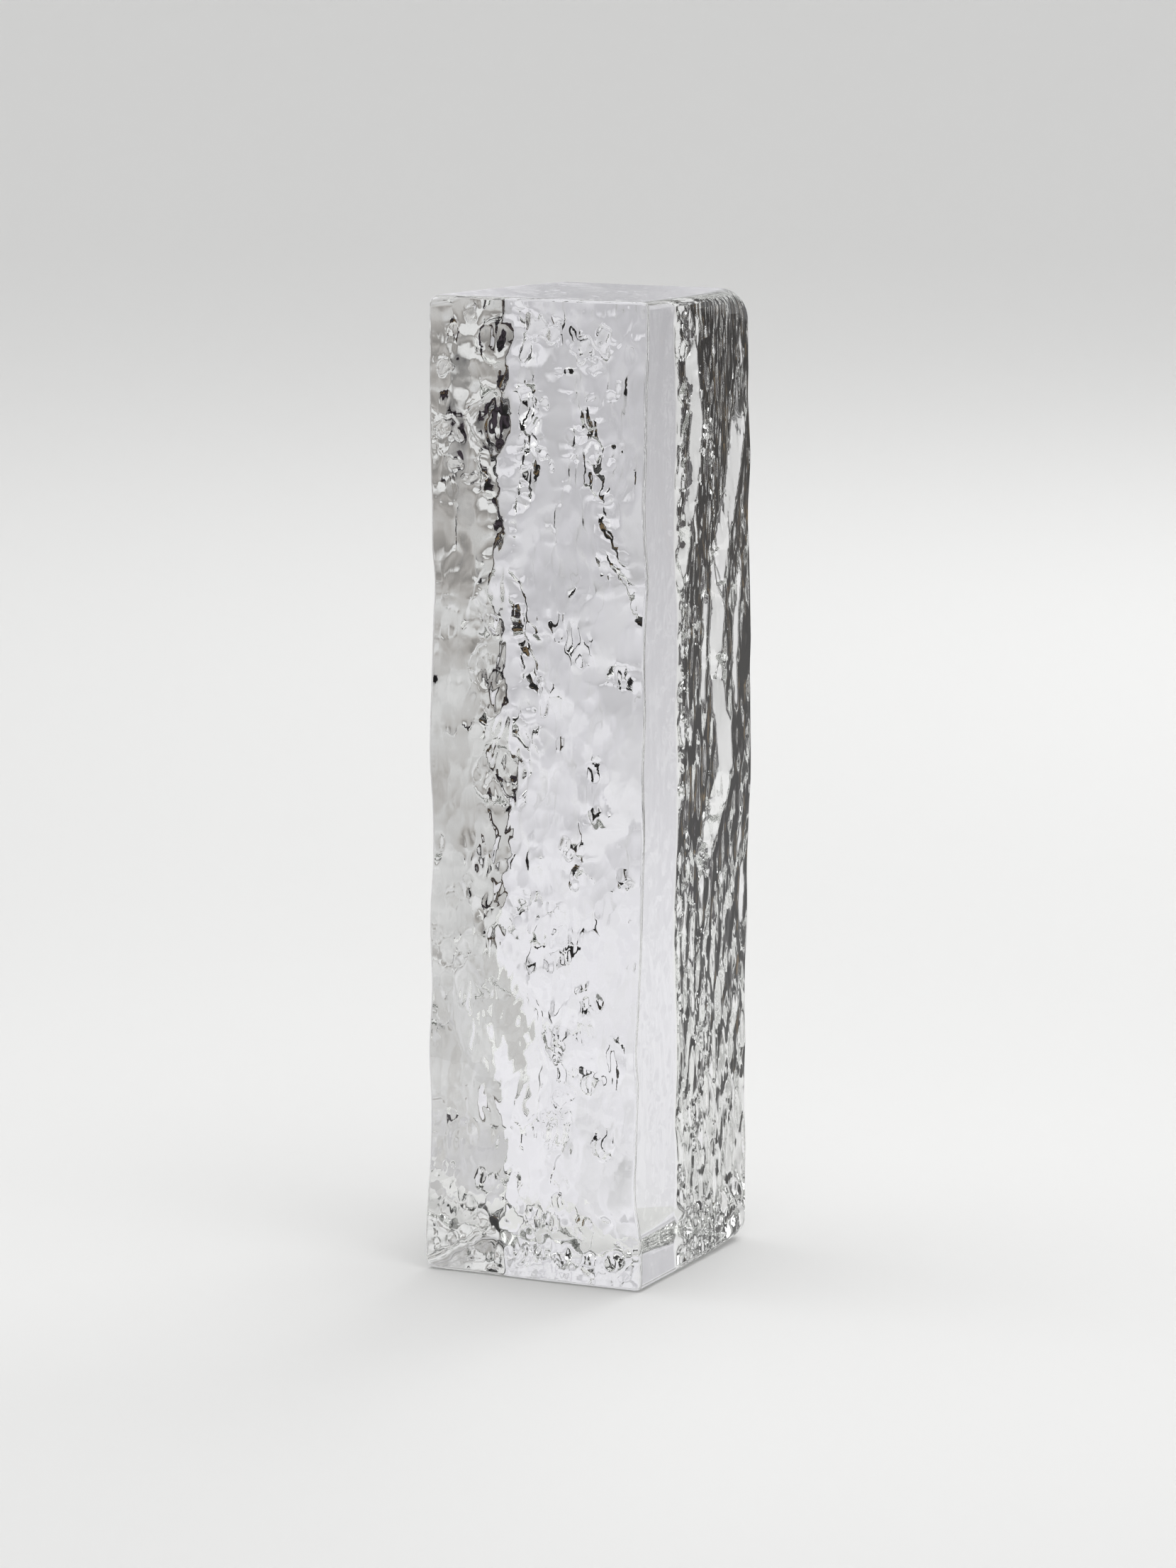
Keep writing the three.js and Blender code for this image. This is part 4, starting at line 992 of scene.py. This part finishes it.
def glass_mesh():
    spans_x, spans_z = NX * 4, NZ * 4
    # the columns and rows that reach the rim
    keep_x = np.concatenate(
        [np.arange(FILLET_STEPS), FILLET_STEPS + 4 * np.arange(spans_x // 4 + 1),
         FILLET_STEPS + spans_x + 1 + np.arange(FILLET_STEPS)]
    )
    keep_z = np.concatenate(
        [np.arange(FILLET_STEPS), FILLET_STEPS + 4 * np.arange(spans_z // 4 + 1),
         FILLET_STEPS + spans_z + 1 + np.arange(FILLET_STEPS)]
    )
    nx, nz = len(keep_x), len(keep_z)
    grid = {
        0.0: (lines(WIDTH, FRONT_EDGE_R, spans_x), lines(HEIGHT, FRONT_EDGE_R, spans_z)),
        1.0: (lines(WIDTH, BACK_EDGE_R, spans_x), lines(HEIGHT, BACK_EDGE_R, spans_z)),
    }

    def surface(ix, iz, back):
        x = grid[0.0][0][ix] * (1 - back) + grid[1.0][0][ix] * back - WIDTH / 2
        z = grid[0.0][1][iz] * (1 - back) + grid[1.0][1][iz] * back - HEIGHT / 2
        return in_outline(x, z, corner_radius(x, z, back))

    loop = (
        [(i, 0) for i in range(nx - 1)]
        + [(nx - 1, j) for j in range(nz - 1)]
        + [(i, nz - 1) for i in range(nx - 1, 0, -1)]
        + [(0, j) for j in range(nz - 1, 0, -1)]
    )
    li = keep_x[[a for a, _ in loop]]
    lj = keep_z[[b for _, b in loop]]

    verts, normals, exact, quads, triangles, ends = [], [], [], [], [], []
    count = 0
    for back in (0.0, 1.0):
        field = BACK_FIELD if back else FRONT_FIELD
        q, t = face_cells(cell_levels(field, *FINE_CELLS[int(back)]))
        a, b = np.meshgrid(np.arange(nx - 1), np.arange(nz - 1), indexing="ij")
        inner = (
            (a >= FILLET_STEPS) & (a < nx - 1 - FILLET_STEPS)
            & (b >= FILLET_STEPS) & (b < nz - 1 - FILLET_STEPS)
        )
        a, b = a[~inner], b[~inner]
        rimmed = np.stack(
            [np.stack([keep_x[a + u], keep_z[b + w]], -1) for u, w in ((0, 0), (1, 0), (1, 1), (0, 1))], 1
        )
        q = np.concatenate([q, rimmed])
        columns = len(grid[0.0][0])
        rows = len(grid[0.0][1])
        key_q = q[..., 0] * rows + q[..., 1]
        key_t = t[..., 0] * rows + t[..., 1]
        keys = np.unique(np.concatenate([key_q.ravel(), key_t.ravel()]))
        number = np.full(columns * rows, -1)
        number[keys] = count + np.arange(len(keys))
        ix, iz = keys // rows, keys % rows
        px, pz, inset, onx, onz = surface(ix, iz, back)
        height = pz + HEIGHT / 2
        out = back_out if back else front_out
        radius = BACK_EDGE_R if back else FRONT_EDGE_R
        sign = 1 if back else -1
        y = sign * (DEPTH / 2 + out(px, height, inset) - drop(inset, radius))
        # inside the fillet the normal comes from the relief itself
        d = 0.12
        slope_x = (out(px + d, height, inset) - out(px - d, height, inset)) / (2 * d)
        slope_z = (out(px, height + d, inset) - out(px, height - d, inset)) / (2 * d)
        normal = np.stack([-slope_x, np.full(len(ix), sign), -slope_z], 1).astype(float)
        normal /= np.linalg.norm(normal, axis=1, keepdims=True)
        edge = (ix == 0) | (ix == columns - 1) | (iz == 0) | (iz == rows - 1)
        normal[edge] = np.stack([onx, np.zeros(len(ix)), onz], 1)[edge]
        verts.append(np.stack([px, y, height], 1))
        normals.append(normal)
        exact.append(edge | (inset > 2.6))
        flip = slice(None, None, -1) if back else slice(None)
        quads.append(number[key_q][:, flip])
        triangles.append(number[key_t][:, flip])
        ends.append((number[li * rows + lj], y[np.searchsorted(keys, li * rows + lj)]))
        count += len(keys)

    rings = [ends[0][0]]
    for back in RINGS[1:-1]:
        px, pz, inset, onx, onz = surface(li, lj, back)
        y = ends[0][1] * (1 - back) + ends[1][1] * back
        verts.append(np.stack([px, y, pz + HEIGHT / 2], 1))
        normals.append(np.stack([onx, np.zeros(len(li)), onz], 1))
        exact.append(np.ones(len(li), bool))
        rings.append(count + np.arange(len(li)))
        count += len(li)
    rings.append(ends[1][0])
    for r0, r1 in zip(rings, rings[1:]):
        quads.append(np.stack([r0, r1, np.roll(r1, -1), np.roll(r0, -1)], -1))

    verts = np.concatenate(verts)
    verts[:, 1] += Y_SHIFT
    normals = np.concatenate(normals)
    exact = np.concatenate(exact)
    quads, triangles = np.concatenate(quads), np.concatenate(triangles)

    # elsewhere, on the fillets, the normal comes from the faces round it
    p = verts[quads]
    fn = np.cross(p[:, 2] - p[:, 0], p[:, 3] - p[:, 1])
    vn = np.zeros_like(verts)
    for k in range(4):
        np.add.at(vn, quads[:, k], fn)
    p = verts[triangles]
    fn = np.cross(p[:, 1] - p[:, 0], p[:, 2] - p[:, 0])
    for k in range(3):
        np.add.at(vn, triangles[:, k], fn)
    vn /= np.maximum(np.linalg.norm(vn, axis=1, keepdims=True), 1e-12)
    vn = np.where(exact[:, None], normals, vn)
    return verts * 0.001, quads, triangles, vn


verts, quads, triangles, vertex_normals = glass_mesh()
mesh = bpy.data.meshes.new("cast_glass")
mesh.vertices.add(len(verts))
mesh.vertices.foreach_set("co", verts.astype(np.float32).ravel())
corners = np.concatenate([quads.ravel(), triangles.ravel()])
starts = np.concatenate(
    [np.arange(len(quads)) * 4, quads.size + np.arange(len(triangles)) * 3]
)
mesh.loops.add(len(corners))
mesh.loops.foreach_set("vertex_index", corners.astype(np.int32))
mesh.polygons.add(len(starts))
mesh.polygons.foreach_set("loop_start", starts.astype(np.int32))
mesh.polygons.foreach_set("use_smooth", np.ones(len(starts), bool))
mesh.update(calc_edges=True)
mesh.validate()
mesh.normals_split_custom_set_from_vertices(vertex_normals.astype(np.float32).tolist())
print("glass triangles", 2 * len(quads) + len(triangles))
glass = bpy.data.objects.new("cast_glass", mesh)
bpy.context.scene.collection.objects.link(glass)


# --------------------------------------------------------------------------
# Materials
# --------------------------------------------------------------------------
def new_material(name):
    m = bpy.data.materials.new(name)
    m.use_nodes = True
    m.node_tree.nodes.clear()
    return m, m.node_tree.nodes, m.node_tree.links


def glass_material():
    """Clear glass, faintly drawn up its smooth sides, with tiny frosted pits in
    the rough faces, scuffs round the foot and a trace of cloud in its skin."""
    m, nodes, links = new_material("clear_glass")
    out = nodes.new("ShaderNodeOutputMaterial")
    shader = nodes.new("ShaderNodeBsdfPrincipled")
    shader.inputs["IOR"].default_value = 1.52
    shader.inputs["Transmission Weight"].default_value = 1.0
    links.new(shader.outputs["BSDF"], out.inputs["Surface"])
    volume = nodes.new("ShaderNodeVolumeAbsorption")
    volume.inputs["Color"].default_value = (0.845, 0.868, 0.825, 1)
    volume.inputs["Density"].default_value = 3.0
    links.new(volume.outputs["Volume"], out.inputs["Volume"])

    place = nodes.new("ShaderNodeTexCoord")
    normal = nodes.new("ShaderNodeSeparateXYZ")
    links.new(place.outputs["Normal"], normal.inputs[0])
    spot = nodes.new("ShaderNodeSeparateXYZ")
    links.new(place.outputs["Object"], spot.inputs[0])

    def noise(scale, stretch=(1, 1, 1), detail=1.0):
        mapping = nodes.new("ShaderNodeMapping")
        mapping.inputs["Scale"].default_value = stretch
        links.new(place.outputs["Object"], mapping.inputs["Vector"])
        node = nodes.new("ShaderNodeTexNoise")
        node.inputs["Scale"].default_value = scale
        node.inputs["Detail"].default_value = detail
        links.new(mapping.outputs[0], node.inputs["Vector"])
        return node.outputs["Fac"]

    def ramp(value, low, high, to_low, to_high):
        node = nodes.new("ShaderNodeMapRange")
        node.interpolation_type = "SMOOTHSTEP"
        links.new(value, node.inputs["Value"])
        for name, number in (("From Min", low), ("From Max", high), ("To Min", to_low), ("To Max", to_high)):
            node.inputs[name].default_value = number
        return node.outputs["Result"]

    def math_node(operation, a, b=None):
        node = nodes.new("ShaderNodeMath")
        node.operation = operation
        for socket, value in zip(node.inputs, (a, b)):
            if isinstance(value, (int, float)):
                socket.default_value = value
            elif value is not None:
                links.new(value, socket)
        return node.outputs[0]

    facing = math_node("ABSOLUTE", normal.outputs["Y"])
    cast = ramp(facing, 0.55, 0.8, 0.0, 1.0)
    pits = math_node("MULTIPLY", cast, ramp(noise(900), 0.7, 0.76, 0.0, 0.16))
    foot = ramp(spot.outputs["Z"], 0.0006, 0.0022, 1.0, 0.0)
    scuffs = math_node("MULTIPLY", foot, ramp(noise(1400, (1, 1, 0.4)), 0.6, 0.7, 0.0, 0.22))
    links.new(math_node("ADD", pits, scuffs), shader.inputs["Roughness"])

    cloud = ramp(noise(260, (1, 1, 0.5), 3.0), 0.25, 0.75, 0.985, 1.0)
    tint = nodes.new("ShaderNodeCombineColor")
    for channel in ("Red", "Green", "Blue"):
        links.new(cloud, tint.inputs[channel])
    links.new(tint.outputs[0], shader.inputs["Base Color"])

    bump = nodes.new("ShaderNodeBump")
    bump.inputs["Strength"].default_value = 0.5
    bump.inputs["Distance"].default_value = 0.00001
    drawn = noise(420, (1, 1, 0.06), 1.0)
    links.new(drawn, bump.inputs["Height"])
    links.new(bump.outputs[0], shader.inputs["Normal"])
    return m


glass.data.materials.append(glass_material())
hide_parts("glass_block")
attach(glass, "root")


# --------------------------------------------------------------------------
# Studio
# --------------------------------------------------------------------------
def add_mesh(name, co, polys, material):
    me = bpy.data.meshes.new(name)
    me.from_pydata([tuple(c) for c in co], [], polys)
    me.materials.append(material)
    ob = bpy.data.objects.new(name, me)
    bpy.context.scene.collection.objects.link(ob)
    return ob


def sweep():
    """A round pale floor that turns up into a wall all round, far away."""
    radii = [0, 0.2, 0.5, 1, 2, 3.5, 4.5]
    prof = [(r, -0.0003) for r in radii]
    for k in range(1, 13):
        a = k / 12 * math.pi / 2
        prof.append((4.5 + 2.5 * math.sin(a), 2.5 * (1 - math.cos(a))))
    prof.append((7.0, 6.0))
    n = 96
    co, polys = [(0, 0, -0.0003)], []
    for r, h in prof[1:]:
        for i in range(n):
            a = TAU * i / n
            co.append((r * math.cos(a), r * math.sin(a), h))
    for i in range(n):
        polys.append((0, 1 + i, 1 + (i + 1) % n))
    for k in range(len(prof) - 2):
        for i in range(n):
            j = (i + 1) % n
            a, b = 1 + k * n, 1 + (k + 1) * n
            polys.append((a + i, b + i, b + j, a + j))
    m, nodes, links = new_material("pale_sweep")
    out = nodes.new("ShaderNodeOutputMaterial")
    diff = nodes.new("ShaderNodeBsdfDiffuse")
    diff.inputs["Color"].default_value = (0.85, 0.85, 0.845, 1)
    links.new(diff.outputs[0], out.inputs["Surface"])
    ob = add_mesh("sweep", co, polys, m)
    for p in ob.data.polygons:
        p.use_smooth = True
    return ob


floor = sweep()


# Painted brightness of what stands round the block, which the shell glows with, down
# each bearing (0 in front, 90 right, 180 behind): by distance over the table, then
# by height up the wall. Close behind the block, at 153 and 180, it is darker: painted shade.
WALL = 1.3
KNOTS = (0.05, 0.27, 0.35, 0.5, 0.65, 0.8, 1.3, 1.34, 1.38, 1.42, 1.46, 1.51, 1.62, 1.74, 2.1, 3.3, 3.9)
BEHIND = {
    90: (0.74, 0.74, 0.70, 0.6, 0.52, 0.46, 0.38, 0.35, 0.33, 0.31, 0.3, 0.7, 0.7, 0.7, 0.4, 0.4, 0.7),
    100: (0.70, 0.72, 0.70, 0.6, 0.52, 0.46, 0.38, 0.35, 0.33, 0.31, 0.3, 0.7, 0.7, 0.7, 0.4, 0.4, 0.7),
    153: (0.52, 0.58, 0.65, 0.65, 0.61, 0.58, 0.51, 0.45, 0.37, 0.31, 0.27, 0.82, 0.82, 0.82, 0.3, 0.3, 0.8),
    180: (0.56, 0.78, 0.84, 0.80, 0.74, 0.69, 0.63, 0.60, 0.57, 0.53, 0.50, 0.8, 0.8, 0.8, 0.5, 0.5, 0.85),
    207: (0.84, 0.86, 0.86, 0.84, 0.79, 0.73, 0.67, 0.64, 0.61, 0.58, 0.56, 0.84, 0.84, 0.84, 0.55, 0.55, 0.9),
    228: (0.86, 0.86, 0.85, 0.81, 0.76, 0.72, 0.66, 0.63, 0.60, 0.57, 0.55, 0.84, 0.84, 0.84, 0.6, 0.6, 0.9),
    245: (0.90, 0.90, 0.90, 0.88, 0.86, 0.84, 0.82, 0.80, 0.78, 0.76, 0.75, 0.86, 0.86, 0.86, 0.7, 0.7, 0.9),
    271: (0.88, 0.88, 0.88, 0.84, 0.80, 0.76, 0.74, 0.72, 0.70, 0.70, 0.70, 0.84, 0.84, 0.84, 0.66, 0.66, 0.8),
}
# In front, the painted light of the white table ends and painted shade for a dark room
# begins: bearing: (the table's reach, the room's tone)
FRONT = {
    -90: (0.24, 0.20), -86: (0.2, 0.04), -78: (0.125, 0.03), -70: (0.115, 0.02), -55: (0.115, 0.016),
    -46: (0.2, 0.008), -30: (0.305, 0.008), -10: (0.315, 0.008), 10: (0.335, 0.008),
    30: (0.35, 0.01), 50: (0.36, 0.01), 70: (0.38, 0.015), 84: (0.42, 0.04), 92: (0.5, 0.15),
}


def tone_at(bearing, q):
    keys = sorted(BEHIND)
    deg = bearing % 360
    rows = [np.interp(q, KNOTS, BEHIND[k]) for k in keys]
    back = np.interp(deg, keys, rows)
    near = (bearing + 180) % 360 - 180
    edges = sorted(FRONT)
    reach = np.interp(near, edges, [FRONT[k][0] for k in edges])
    room = np.interp(near, edges, [FRONT[k][1] for k in edges])
    front = room + (0.78 - room) * (1 - smoothstep(reach - 0.006, reach + 0.010, q))
    # painted light: the shell glows brighter high up the wall in front
    front = front + 0.5 * smoothstep(3.2, 3.9, q)
    mix = smoothstep(-90, -86, near) * (1 - smoothstep(86, 98, near))
    return float(back * (1 - mix) + front * mix)


def surround():
    """What the glass sees round it, as painted light and shade on a glowing shell
    that only the glass's rays meet: the lit table's far parts, the walls and a dark
    room at the front. To the left of and behind the block the shell comes in close,
    with the near floor's light and shade painted on it."""
    near = np.concatenate(
        [[0.065, 0.09, 0.13, 0.145], np.arange(0.16, 0.42, 0.0085), np.arange(0.42, 0.7, 0.03), [0.75, 0.85, 1.0, WALL]]
    )
    rows = [(r, 0.0004) for r in near]
    rows += [(WALL, h) for h in (0.04, 0.08, 0.12, 0.16, 0.185, 0.205, 0.22, 0.3, 0.4, 0.55, 0.8, 1.1, 1.5, 2.0, 2.6)]
    n = 180
    co, colours = [], []
    for r, h in rows:
        q = r if h < 0.001 else WALL + h
        for i in range(n):
            deg = -90 + 360 * i / n
            a = math.radians(deg)
            v = tone_at(deg, q)
            if abs(deg - 207) < 2 and 1.55 < q < 1.75:
                v -= 0.2  # a dimmer patch of painted shade, which the top face mirrors
            # the backdrop is faintly lavender, the right side is warm, and there
            # is brown wood in the dark room
            cool = max(0.0, 1 - abs(deg - 207) / 45)
            warm = 0.35 + 0.65 * max(0.0, 1 - abs(deg - 153) / 30)
            warm *= min(1.0, max(0.0, (0.64 - v) / 0.22)) * (1 - cool)
            colour = [v * (1 + 0.035 * warm), v * (1 - 0.012 * cool - 0.008 * warm), v * (1 - 0.05 * warm + 0.042 * cool)]
            near_deg = (deg + 180) % 360 - 180
            wood = smoothstep(-86, -83, near_deg) * (1 - smoothstep(-76, -72, near_deg))
            wood += smoothstep(72, 76, near_deg) * (1 - smoothstep(83, 86, near_deg))
            wood *= smoothstep(0.36, 0.42, q) * (1 - smoothstep(1.36, 1.5, q))
            colour = [c + w * wood for c, w in zip(colour, (0.13, 0.085, 0.035))]
            # and faint purple light, painted on in waves, stands for dim things about in it
            dim = smoothstep(-40, -20, near_deg) * (1 - smoothstep(66, 74, near_deg)) * smoothstep(0.4, 0.5, q)
            dim *= (0.5 + 0.5 * math.sin(0.37 * near_deg + 3 * math.sin(7 * q))) * (1 - smoothstep(1.5, 1.9, q))
            colour = [c + w * dim for c, w in zip(colour, (0.045, 0.034, 0.045))]
            co.append((r * math.sin(a), -r * math.cos(a), h))
            colours.append((*colour, 1))
    polys = []
    for k in range(len(rows) - 1):
        for i in range(n):
            deg = -90 + 360 * (i + 0.5) / n
            if rows[k][0] < 0.27 and not (104 < deg or deg < -48):
                continue
            j = (i + 1) % n
            polys.append((k * n + i, k * n + j, (k + 1) * n + j, (k + 1) * n + i))
    m, nodes, links = new_material("surround")
    out = nodes.new("ShaderNodeOutputMaterial")
    em = nodes.new("ShaderNodeEmission")
    att = nodes.new("ShaderNodeAttribute")
    att.attribute_name = "tone"
    links.new(att.outputs["Color"], em.inputs["Color"])
    links.new(em.outputs[0], out.inputs["Surface"])
    ob = add_mesh("surround", co, polys, m)
    layer = ob.data.attributes.new("tone", "FLOAT_COLOR", "POINT")
    layer.data.foreach_set("color", np.array(colours, np.float32).ravel())
    only_glass(ob)
    return ob


def only_glass(ob):
    ob.visible_camera = False
    ob.visible_diffuse = False
    ob.visible_shadow = False
    ob.visible_volume_scatter = False


def front_softbox():
    """A soft light high on the front left, which glints in the rough face."""
    bearing, height, distance = math.radians(-30), math.radians(36), 1.22
    to = Vector((math.sin(bearing) * math.cos(height), -math.cos(bearing) * math.cos(height), math.sin(height)))
    m, nodes, links = new_material("softbox_front")
    out = nodes.new("ShaderNodeOutputMaterial")
    em = nodes.new("ShaderNodeEmission")
    em.inputs["Color"].default_value = (1, 1, 1, 1)
    em.inputs["Strength"].default_value = 1.7
    links.new(em.outputs[0], out.inputs["Surface"])
    w, h = 0.42, 0.32
    ob = add_mesh("softbox_front", [(-w, -h, 0), (w, -h, 0), (w, h, 0), (-w, h, 0)], [(0, 1, 2, 3)], m)
    ob.rotation_mode = "QUATERNION"
    ob.rotation_quaternion = (-to).to_track_quat("Z", "Y")
    ob.location = to * distance
    only_glass(ob)


surround()
front_softbox()


def soft_lamp(name, size, energy, place, aim):
    data = bpy.data.lights.new(name, "AREA")
    data.shape = "DISK"
    data.size = size
    data.energy = energy
    ob = bpy.data.objects.new(name, data)
    ob.location = place
    ob.rotation_mode = "QUATERNION"
    ob.rotation_quaternion = (Vector(place) - Vector(aim)).to_track_quat("Z", "Y")
    bpy.context.scene.collection.objects.link(ob)
    return ob


# The first shows in the glass. The others light the table and the backdrop:
# one from behind, and two small ones that keep the table pale up to the block.
soft_lamp("softbox", 1.3, 4.5, (0.1, 0.35, 1.6), (0.1, 0.3, 0)).visible_diffuse = False
for name, size, energy, place, aim in (
    ("fill_back", 1.2, 8.5, (0.1, 1.3, 1.5), (0.1, 1.0, 0)),
    ("fill_left", 0.2, 0.17, (-0.14, -0.02, 0.42), (-0.13, 0, 0)),
    ("fill_right", 0.2, 0.22, (0.14, -0.03, 0.42), (0.14, 0, 0)),
):
    lamp = soft_lamp(name, size, energy, place, aim)
    lamp.visible_camera = lamp.visible_glossy = lamp.visible_transmission = False

world = bpy.data.worlds.new("studio")
world.use_nodes = True
bg = world.node_tree.nodes["Background"]
bg.inputs["Color"].default_value = (1, 1, 1, 1)
bg.inputs["Strength"].default_value = 0.9
bpy.context.scene.world = world

# --------------------------------------------------------------------------
# Camera: 27 degrees to the right of the front, a little above, long lens
# --------------------------------------------------------------------------
AZ, PITCHED, ROLL = math.radians(27.10), math.radians(9.52), math.radians(0.22)
DIST, FOCAL_PX = 1.2578, 6900.0
back_dir = Vector(
    (math.sin(AZ) * math.cos(PITCHED), -math.cos(AZ) * math.cos(PITCHED), math.sin(PITCHED))
)
right = Vector((math.cos(AZ), math.sin(AZ), 0))
up = back_dir.cross(right)
target = Vector((0, Y_SHIFT * 0.001, 0.4946 * 0.25)) + right * (-0.0038 * 0.25)
r2 = right * math.cos(ROLL) + up * math.sin(ROLL)
u2 = -right * math.sin(ROLL) + up * math.cos(ROLL)
cam_data = bpy.data.cameras.new("camera")
cam_data.sensor_width = 36.0
cam_data.lens = FOCAL_PX / 2212 * 36.0
cam_data.clip_start = 0.01
cam_data.clip_end = 100
cam = bpy.data.objects.new("camera", cam_data)
bpy.context.scene.collection.objects.link(cam)
place = Matrix((r2, u2, back_dir)).transposed().to_4x4()
place.translation = target + back_dir * DIST
cam.matrix_world = place
bpy.context.scene.camera = cam

scene = bpy.context.scene
scene.view_settings.view_transform = "Standard"
scene.view_settings.look = "None"
scene.cycles.max_bounces = 24
scene.cycles.transmission_bounces = 24
scene.cycles.glossy_bounces = 12
